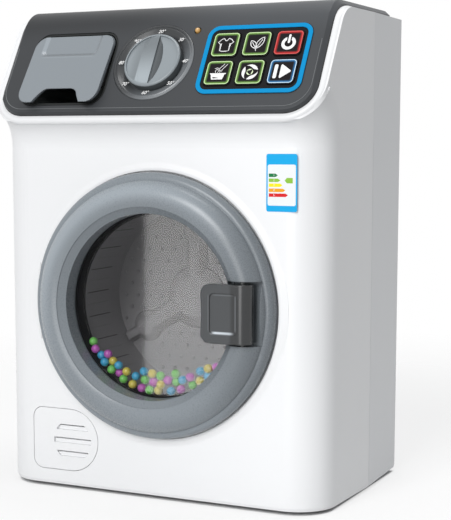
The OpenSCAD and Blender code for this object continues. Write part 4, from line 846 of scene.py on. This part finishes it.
# %% Beads
BEAD = 5.8
BEADS = {
    "green": ((0.175, 0.59, 0.11), [
        (-49.8, -26.9, 5.6), (-34.8, -44.6, 3.4), (-25.8, -50.3, 3.4), (-10.8, -50.0, 5.6),
        (-6.2, -56.2, 3.4), (1.6, -46.3, 4.0), (12.7, -44.1, 4.1), (12.6, -49.7, 5.6), (24.7, -50.9, 5.0)]),
    "magenta": ((0.53, 0.11, 0.50), [
        (-47.0, -31.5, 3.4), (-38.1, -34.5, 4.6), (-29.8, -46.8, 5.6), (-12.0, -55.3, 3.4),
        (-4.2, -51.1, 5.4), (6.9, -48.8, 4.1), (16.2, -54.2, 4.8), (23.6, -45.4, 3.5), (42.2, -37.6, 3.8)]),
    "blue": ((0.045, 0.38, 0.64), [
        (-43.7, -35.8, 5.6), (-40.1, -39.9, 3.4), (-29.4, -41.4, 3.4), (-17.6, -48.1, 5.6),
        (-11.0, -44.3, 4.7), (9.6, -55.7, 3.6), (17.8, -47.8, 4.0), (31.0, -41.0, 3.4), (35.3, -44.1, 5.6)]),
    "yellow": ((0.65, 0.55, 0.08), [
        (-34.8, -39.2, 5.6), (-23.4, -45.1, 3.4), (-18.9, -53.3, 3.4), (-5.0, -45.4, 5.0),
        (2.1, -52.0, 3.4), (-0.8, -56.5, 5.6), (30.6, -47.5, 3.6), (36.5, -38.9, 3.4)]),
}


def on_equator(edge):
    return all(abs(v.co.z) < 0.01 for v in edge.verts)


random.seed(7)
bead_sets = []
for colour_name, (colour, spots) in BEADS.items():
    copies = []
    for x, z, inward in spots:
        fresh()
        if not copies:
            bpy.ops.mesh.primitive_uv_sphere_add(segments=24, ring_count=12, radius=BEAD / 2)
            bead = bpy.context.object
            edit("DESELECT")
            bevel_where("edges", on_equator, 0.12, 2)
            bpy.ops.transform.resize(value=(1.012, 1.012, 1.0))
            bpy.ops.object.mode_set(mode="OBJECT")
            bpy.ops.object.shade_smooth()
        else:
            bead = added("bead", copies[0].data.copy())
        tumble = Euler([random.uniform(0, tau) for _ in range(3)]).to_matrix().to_4x4()
        bead.matrix_world = Matrix.Translation((x, z, -inward)) @ tumble
        copies.append(bead)
    beads = joined(copies)
    shine = moulded("bead_" + colour_name, colour, rough=0.3, peel=0.0, drift=0.06, soft=0.0, coat=0.15)
    bead_sets.append(settle(beads, "beads_" + colour_name, "door", on_door(), shine))
    print(colour_name, "beads", len(copies))
for beads in bead_sets:
    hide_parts("beads")

# %% [markdown]
# ## Dimples on the back of the drum
# The back wall carries rows of small domes that let laundry slide. One dome is a flat
# cylinder with its top edge bevelled round; its copies stand on a staggered grid wherever
# the hub and the three blades leave room.

# %% Drum domes
DRUM_BACK = 62.0
FREE_FROM, FREE_TO = 24.5, 59.0
BLADES, BLADE_HALF, HEAD_AT, HEAD_R = (90, 210, 330), 6.5, 44.3, 13.0
FOOT_HALF, FOOT_END = 10.0, 44.0
PITCH_X, PITCH_Z, SHIFT_X, SHIFT_Z = 9.6, 8.3, 1.5, -1.0


def blocked(x, z):
    """True where the hub or a blade covers the back wall."""
    r, turn = hypot(x, z), degrees(atan2(z, x)) % 360
    if r < FREE_FROM or r > FREE_TO:
        return True
    for blade in BLADES:
        away = radians(turn - blade)
        along, across = r * cos(away), abs(r * sin(away))
        on_foot = across < FOOT_HALF and along < FOOT_END
        on_head = hypot(along - HEAD_AT, across) < HEAD_R
        if along > 0 and (on_foot or across < BLADE_HALF or on_head):
            return True
    return False


domes = []
for row in range(-7, 8):
    for col in range(-7, 8):
        x, z = (col + (row % 2) / 2) * PITCH_X + SHIFT_X, row * PITCH_Z + SHIFT_Z
        if blocked(x, z):
            continue
        if not domes:
            fresh()
            bpy.ops.mesh.primitive_cylinder_add(vertices=20, radius=1.35, depth=0.9, location=(0, 0, 0))
            dome = bpy.context.object
            edit("DESELECT")
            bevel_where("faces", lambda face: face.normal.z > 0.9, 0.6, 3)
            bpy.ops.object.mode_set(mode="OBJECT")
            bpy.ops.object.shade_smooth()
        else:
            dome = added("dome", domes[0].data.copy())
        dome.location = (x, z, -DRUM_BACK + 0.4)
        domes.append(dome)
settle(joined(domes), "drum_domes", "drum", on_door(), blade_grey)
print("drum domes", len(domes))

# %% [markdown]
# ## Printed signs
# Signs are pad-printed: a film of ink a few hundredths of a millimetre thick. Each sign is
# a set of closed outlines. A flat curve fills them, and an outline inside another becomes a
# hole. The curve gets a hair of thickness, is turned into a mesh and then laid in place.

# %% Sign helpers
def ink(name, colour):
    """Printing ink: even, and a little rough."""
    return moulded(name, colour, rough=0.45, peel=0.0, grain=0.02, soft=0.0, gloss=0.3)


white_ink = ink("white_ink", (0.86, 0.86, 0.86))
black_ink = ink("black_ink", (0.008, 0.008, 0.009))
FILM = 0.05


def sign(name, outlines, place, material, body):
    """Closed outlines in mm become one thin print that lies at place."""
    curve = bpy.data.curves.new(name, "CURVE")
    curve.dimensions, curve.fill_mode, curve.extrude = "2D", "BOTH", FILM / 2
    for outline in outlines:
        spline = curve.splines.new("POLY")
        spline.points.add(len(outline) - 1)
        for point, (x, y) in zip(spline.points, outline):
            point.co = (x, y, 0, 1)
        spline.use_cyclic_u = True
    piece = added(name, curve)
    pick(piece)
    bpy.ops.object.convert(target="MESH")
    return settle(bpy.context.object, name, body, place, material)


def arc_points(r, a0, a1, steps, cx=0.0, cy=0.0):
    """Points along an arc from a0 to a1 degrees."""
    turns = [radians(a0 + (a1 - a0) * k / steps) for k in range(steps + 1)]
    return [(cx + r * cos(a), cy + r * sin(a)) for a in turns]


def round_box(w, h, r, steps=6):
    """A rectangle with round corners, counter-clockwise."""
    x, y = w / 2 - r, h / 2 - r
    out = []
    for cx, cy, turn in ((x, y, 0), (-x, y, 90), (-x, -y, 180), (x, -y, 270)):
        out += arc_points(r, turn, turn + 90, steps, cx, cy)
    return out


def stroke(points, width, closed=False):
    """The outlines of a pen line of even width along points."""
    count, sides = len(points), ([], [])
    for i, (x, y) in enumerate(points):
        before = points[i - 1] if i or closed else points[0]
        after = points[(i + 1) % count] if i < count - 1 or closed else points[-1]
        dx, dy = after[0] - before[0], after[1] - before[1]
        size = hypot(dx, dy) or 1.0
        nx, ny = -dy / size * width / 2, dx / size * width / 2
        sides[0].append((x + nx, y + ny))
        sides[1].append((x - nx, y - ny))
    return [sides[0], sides[1]] if closed else [sides[0] + sides[1][::-1]]


print("sign helpers ready")

# %% [markdown]
# ## Key borders
# Each key has a printed border in its colour that fades to the black of the key, with a pale
# rim that is a painted highlight of the key's round edge. A plane with rounded corners is inset
# again and again, and each ring of points carries its own colour in an attribute the ink reads.

# %% Key borders
def fading_ink():
    """An ink that takes its colour from the points of the print."""
    material = moulded("key_border_ink", (0.5, 0.5, 0.5), peel=0.0, drift=0.0, soft=0.0, gloss=0.25)
    skin, _ = skin_of(material)
    tone = Wire(material.node_tree).add("ShaderNodeAttribute", {"attribute_name": "ink"})
    tone.into(skin, "Base Color")
    return material


border_ink = fading_ink()
KEY_TOP = 1.2
BORDER_W, BORDER_H, BORDER_R = 17.2, 16.9, 2.6
KEY_BLACK = (0.012, 0.010, 0.011)


def on_key(key):
    """A matrix that lays a drawing on the top of a key."""
    return on_panel(*KEY_AT[key], KEY_TOP + 0.03)


def key_border(key, rim_highlight, glow):
    """A printed ring with a painted highlight at its rim that fades to the black of the key."""
    steps = [(0.0, glow), (0.2, rim_highlight), (0.45, rim_highlight), (0.7, glow), (1.1, tuple(c * 0.8 for c in glow)),
             (1.5, tuple(c * 0.35 for c in glow)), (2.1, KEY_BLACK)]
    fresh()
    bpy.ops.mesh.primitive_plane_add(size=1)
    plate = bpy.context.object
    bpy.ops.object.mode_set(mode="EDIT")
    bpy.ops.transform.resize(value=(BORDER_W, BORDER_H, 1))
    bpy.ops.mesh.bevel(offset=BORDER_R, segments=7, affect="VERTICES")
    bmesh.from_edit_mesh(plate.data).verts.layers.float_color.new("ink")
    for (before, _), (depth, colour) in zip(steps[:1] + steps, steps):
        if depth > before:
            bpy.ops.mesh.inset(thickness=depth - before)
        form = bmesh.from_edit_mesh(plate.data)
        layer = form.verts.layers.float_color["ink"]
        for v in form.verts:
            if v.select:
                v[layer] = (*colour, 1)
        bmesh.update_edit_mesh(plate.data)
    bpy.ops.mesh.delete(type="FACE")
    bpy.ops.object.mode_set(mode="OBJECT")
    return settle(plate, "border_" + key, "key_" + key, on_key(key), border_ink)


# The first colour of each pair is the pale rim, a painted highlight; the second is the printed colour.
GREEN = ((0.62, 0.80, 0.45), (0.16, 0.32, 0.06))
RED = ((0.62, 0.12, 0.11), (0.48, 0.02, 0.02))
BLUE = ((0.62, 0.80, 0.90), (0.02, 0.16, 0.38))
KEY_LAYOUT = {"shirt": (-1, 1, GREEN), "leaf": (0, 1, GREEN), "power": (1, 1, RED),
              "tub": (-1, -1, GREEN), "spin": (0, -1, GREEN), "start": (1, -1, BLUE)}
KEY_AT = {}
for key, (col, row, (rim_highlight, glow)) in KEY_LAYOUT.items():
    KEY_AT[key] = (KEYS[0] + col * KEY_PITCH[0], KEYS[1] + row * KEY_PITCH[1] / 2)
    key_border(key, rim_highlight, glow)
print("key borders at", KEY_AT)

# %% [markdown]
# ## Pictures on the keys
# A shirt outline, a pair of leaves, the mark for power, a hand dipping into a wash tub,
# three swirling blades and a bar with a triangle. They are polygons a few
# millimetres high, most of them from arcs.

# %% Key pictures
def key_sign(key, name, outlines, material=white_ink):
    """Prints a picture on the top of a key."""
    return sign(name, outlines, on_key(key), material, "key_" + key)


shirt = [(-1.6, 4.5), (-3.3, 3.9), (-5.3, 1.7), (-3.7, 0.2), (-3.0, 0.9), (-3.1, -4.6), (-1.5, -5.0),
         (1.5, -5.0), (3.1, -4.6), (3.0, 0.9), (3.7, 0.2), (5.3, 1.7), (3.3, 3.9), (1.6, 4.5), (0.8, 3.2),
         (0.0, 2.7), (-0.8, 3.2)]
key_sign("shirt", "sign_shirt", stroke(shirt, 0.52, closed=True))

foot = Vector((0, -3.6))
for k, (tip, bulge) in enumerate((((4.4, 4.6), 2.0), ((-4.0, 2.2), 1.7))):
    reach = Vector(tip) - foot
    aside = reach.orthogonal().normalized()
    rib = [foot + reach * t for t in (0.0, 0.8)]
    steps = [step / 12 for step in range(12)]
    edge = [foot + reach * t + aside * bulge * sin(pi * t) ** 0.8 for t in steps]
    edge += [foot + reach * (1 - t) - aside * bulge * sin(pi * (1 - t)) ** 0.8 for t in steps]
    key_sign("leaf", f"sign_leaf_{k}", stroke(edge, 0.5, closed=True))
    key_sign("leaf", f"sign_leaf_rib_{k}", stroke(rib, 0.42))
key_sign("leaf", "sign_leaf_stem", stroke([(0.3, -5.4), (0.0, -4.4), (0.0, -3.4)], 0.5))

gap = 21
ring_out = arc_points(4.75, 90 + gap, 450 - gap, 40, 0, -0.5)
ring_in = arc_points(2.65, 450 - gap * 1.7, 90 + gap * 1.7, 40, 0, -0.5)
key_sign("power", "sign_power_ring", [ring_out + ring_in])
key_sign("power", "sign_power_bar", [[(x, y + 2.7) for x, y in round_box(1.5, 6.4, 0.7)]])

bowl = [(-5.6, -0.4), (5.6, -0.4), (5.2, -1.2), (4.6, -1.2), (3.6, -5.0), (-3.9, -5.0), (-4.9, -1.2),
        (-5.3, -1.2)]
streak = [(-3.4, -3.0), (1.6, -4.0), (-2.9, -4.2)]
key_sign("tub", "sign_tub", [bowl, streak])
HAND = [([(5.2, 6.0), (2.2, 2.2), (1.7, 0.6)], 0.38), ([(3.2, 6.3), (0.4, 3.0), (-2.0, 3.6)], 0.38),
        ([(-2.9, 3.2), (-1.3, 2.6), (-2.3, 1.2), (-1.9, 0.1)], 0.38),
        ([(-1.4, 2.2), (0.4, 1.5), (-0.6, 0.0)], 0.34), ([(-0.4, 2.6), (1.2, 1.4), (0.8, 0.0)], 0.34)]
for k, (line, width) in enumerate(HAND):
    key_sign("tub", f"sign_hand_{k}", stroke(line, width))


def crescent(r, a0, a1, thick, steps=20):
    """A blade that follows a circle and tapers to both ends."""
    outer = arc_points(r, a0, a1, steps)
    inner = []
    for k, (x, y) in enumerate(outer):
        left = 1 - thick / r * sin(pi * (k / steps) ** 0.7)
        inner.append((x * left, y * left))
    return outer + inner[::-1][1:-1]


pale_green_ink = ink("pale_green_ink", (0.72, 0.85, 0.55))
for k in range(3):
    turn = 120 * k
    key_sign("spin", f"sign_swirl_{k}", [crescent(5.4, turn + 15, turn + 122, 2.3)])
    key_sign("spin", f"sign_swirl_small_{k}", [crescent(2.2, turn + 60, turn + 175, 0.9)], pale_green_ink)

key_sign("start", "sign_start_bar", [[(x - 4.3, y) for x, y in round_box(2.3, 10.0, 0.9)]])
triangle = arc_points(0.8, 90, 180, 4, -0.4, 4.1) + arc_points(0.8, 180, 270, 4, -0.4, -4.1)
triangle += arc_points(0.8, -60, 60, 6, 5.0, 0.0)
key_sign("start", "sign_start_triangle", [triangle])
print("pictures on", len(KEY_AT), "keys")

# %% [markdown]
# ## Dark line round the key frame
# The blue frame lies in a groove; a thin black print outside it is painted shade of that groove.

# %% Frame line
FRAME_W, FRAME_H, LINE_W = 71.5, 50.2, 0.9
# Black print outside the blue frame: painted shade of its groove.
frame_groove_shade = [round_box(FRAME_W + LINE_W, FRAME_H + LINE_W, 8.4, 10), round_box(FRAME_W, FRAME_H, 8, 10)]
sign("frame_line_outer", frame_groove_shade, on_panel(*KEYS, 0.04), black_ink, "casing")
print("dark line round the keys")

# %% [markdown]
# ## Numbers round the dial
# Eight temperatures stand on the surround, upright and slanted like sporty type. A text
# object gives good digits with no outline work, becomes a mesh and is laid in place.

# %% Dial numbers
NUMBER_R = 23.1


def words(name, text, size, place, slant=0.25, weight=0.0):
    """A short text as a thin white print on the casing."""
    fresh()
    bpy.ops.object.text_add()
    made = bpy.context.object
    made.data.body, made.data.size, made.data.shear = text, size, slant
    made.data.align_x, made.data.align_y = "CENTER", "CENTER"
    made.data.extrude, made.data.offset = FILM / 2, weight
    bpy.ops.object.convert(target="MESH")
    return settle(bpy.context.object, name, "casing", place, white_ink)


for k, heat in enumerate(range(20, 100, 10)):
    turn = radians(90 - 45 * k)
    x, s = DIAL[0] + NUMBER_R * cos(turn), DIAL[1] + NUMBER_R * sin(turn)
    words(f"dial_number_{heat}", f"{heat}°", 3.5, on_panel(x, s, 0.1), weight=0.03)
print("eight numbers round the dial")

# %% [markdown]
# ## Colour scale sticker
# A small blue label on the front shows five coloured arrows, each longer than the one
# above, and a pointer beside the second. It is paper: a thin plate whose upright edges are
# bevelled into round corners, a white field and arrows printed on it, with small white
# numbers.

# %% Sticker
STICKER_X, STICKER_Z, STICKER_W, STICKER_H, PAPER = 90.75, 209.0, 20.5, 35.4, 0.16
fresh()
bpy.ops.mesh.primitive_cube_add(size=1)
label = bpy.context.object
bpy.ops.object.mode_set(mode="EDIT")
bpy.ops.transform.resize(value=(STICKER_W, STICKER_H, PAPER))
bpy.ops.mesh.select_mode(type="EDGE")
bpy.ops.mesh.select_all(action="DESELECT")
bevel_where("edges", lambda edge: abs(edge.verts[0].co.z - edge.verts[1].co.z) > 0.1, 1.3, 6)
bpy.ops.object.mode_set(mode="OBJECT")
sticker_blue = ink("sticker_blue", (0.0, 0.39, 0.78))
settle(label, "sticker", "casing", on_face(STICKER_X, STICKER_Z, PAPER / 2), sticker_blue)
sticker_white = ink("sticker_white", (0.84, 0.86, 0.87))
sign("sticker_field", [round_box(18.7, 25.2, 1.2)], on_face(90.8, 207.6, 0.19), sticker_white, "casing")
ARROWS = [("dark_green", 213.6, 88.2, (0.0, 0.17, 0.045)), ("green", 210.55, 89.8, (0.26, 0.52, 0.05)),
          ("yellow", 207.55, 91.4, (0.92, 0.80, 0.01)), ("orange", 204.45, 93.2, (0.85, 0.36, 0.01)),
          ("red", 201.45, 95.0, (0.68, 0.008, 0.012))]
for number, (name, z, tip, colour) in enumerate(ARROWS, start=1):
    arrow = [(82.2, -1.05), (tip - 1.6, -1.05), (tip, 0.0), (tip - 1.6, 1.05), (82.2, 1.05)]
    sign("sticker_arrow_" + name, [arrow], on_face(0, z, 0.22), ink("ink_" + name, colour), "casing")
    words(f"sticker_number_{number}", str(number), 1.9, on_face(85.6, z, 0.26), slant=0.0)
pointer = [(98.1, -1.65), (98.1, 1.65), (94.2, 1.65), (92.8, 0.0), (94.2, -1.65)]
pointer_ink = ink("ink_pointer", (0.26, 0.52, 0.05))
sign("sticker_pointer", [pointer], on_face(0, 210.45, 0.22), pointer_ink, "casing")
print("sticker with", len(ARROWS), "arrows")

# %% [markdown]
# ## Mark on the knob
# A short dark mark near the top of the knob shows which number is chosen.

# %% Knob mark
mark = [(-4.9, 15.2), (-3.6, 15.2), (-3.6, 17.0), (-4.1, 17.0), (-4.1, 15.7), (-4.9, 15.7)]
sign("knob_mark", [mark], on_panel(*DIAL, 2.14), ink("mark_grey", (0.05, 0.05, 0.055)), "dial")
print("mark on the knob")

# %% [markdown]
# ## End
# Nothing is left selected at the end. The dressed toy has to stay inside the box of
# its solids.

# %% End
fresh()
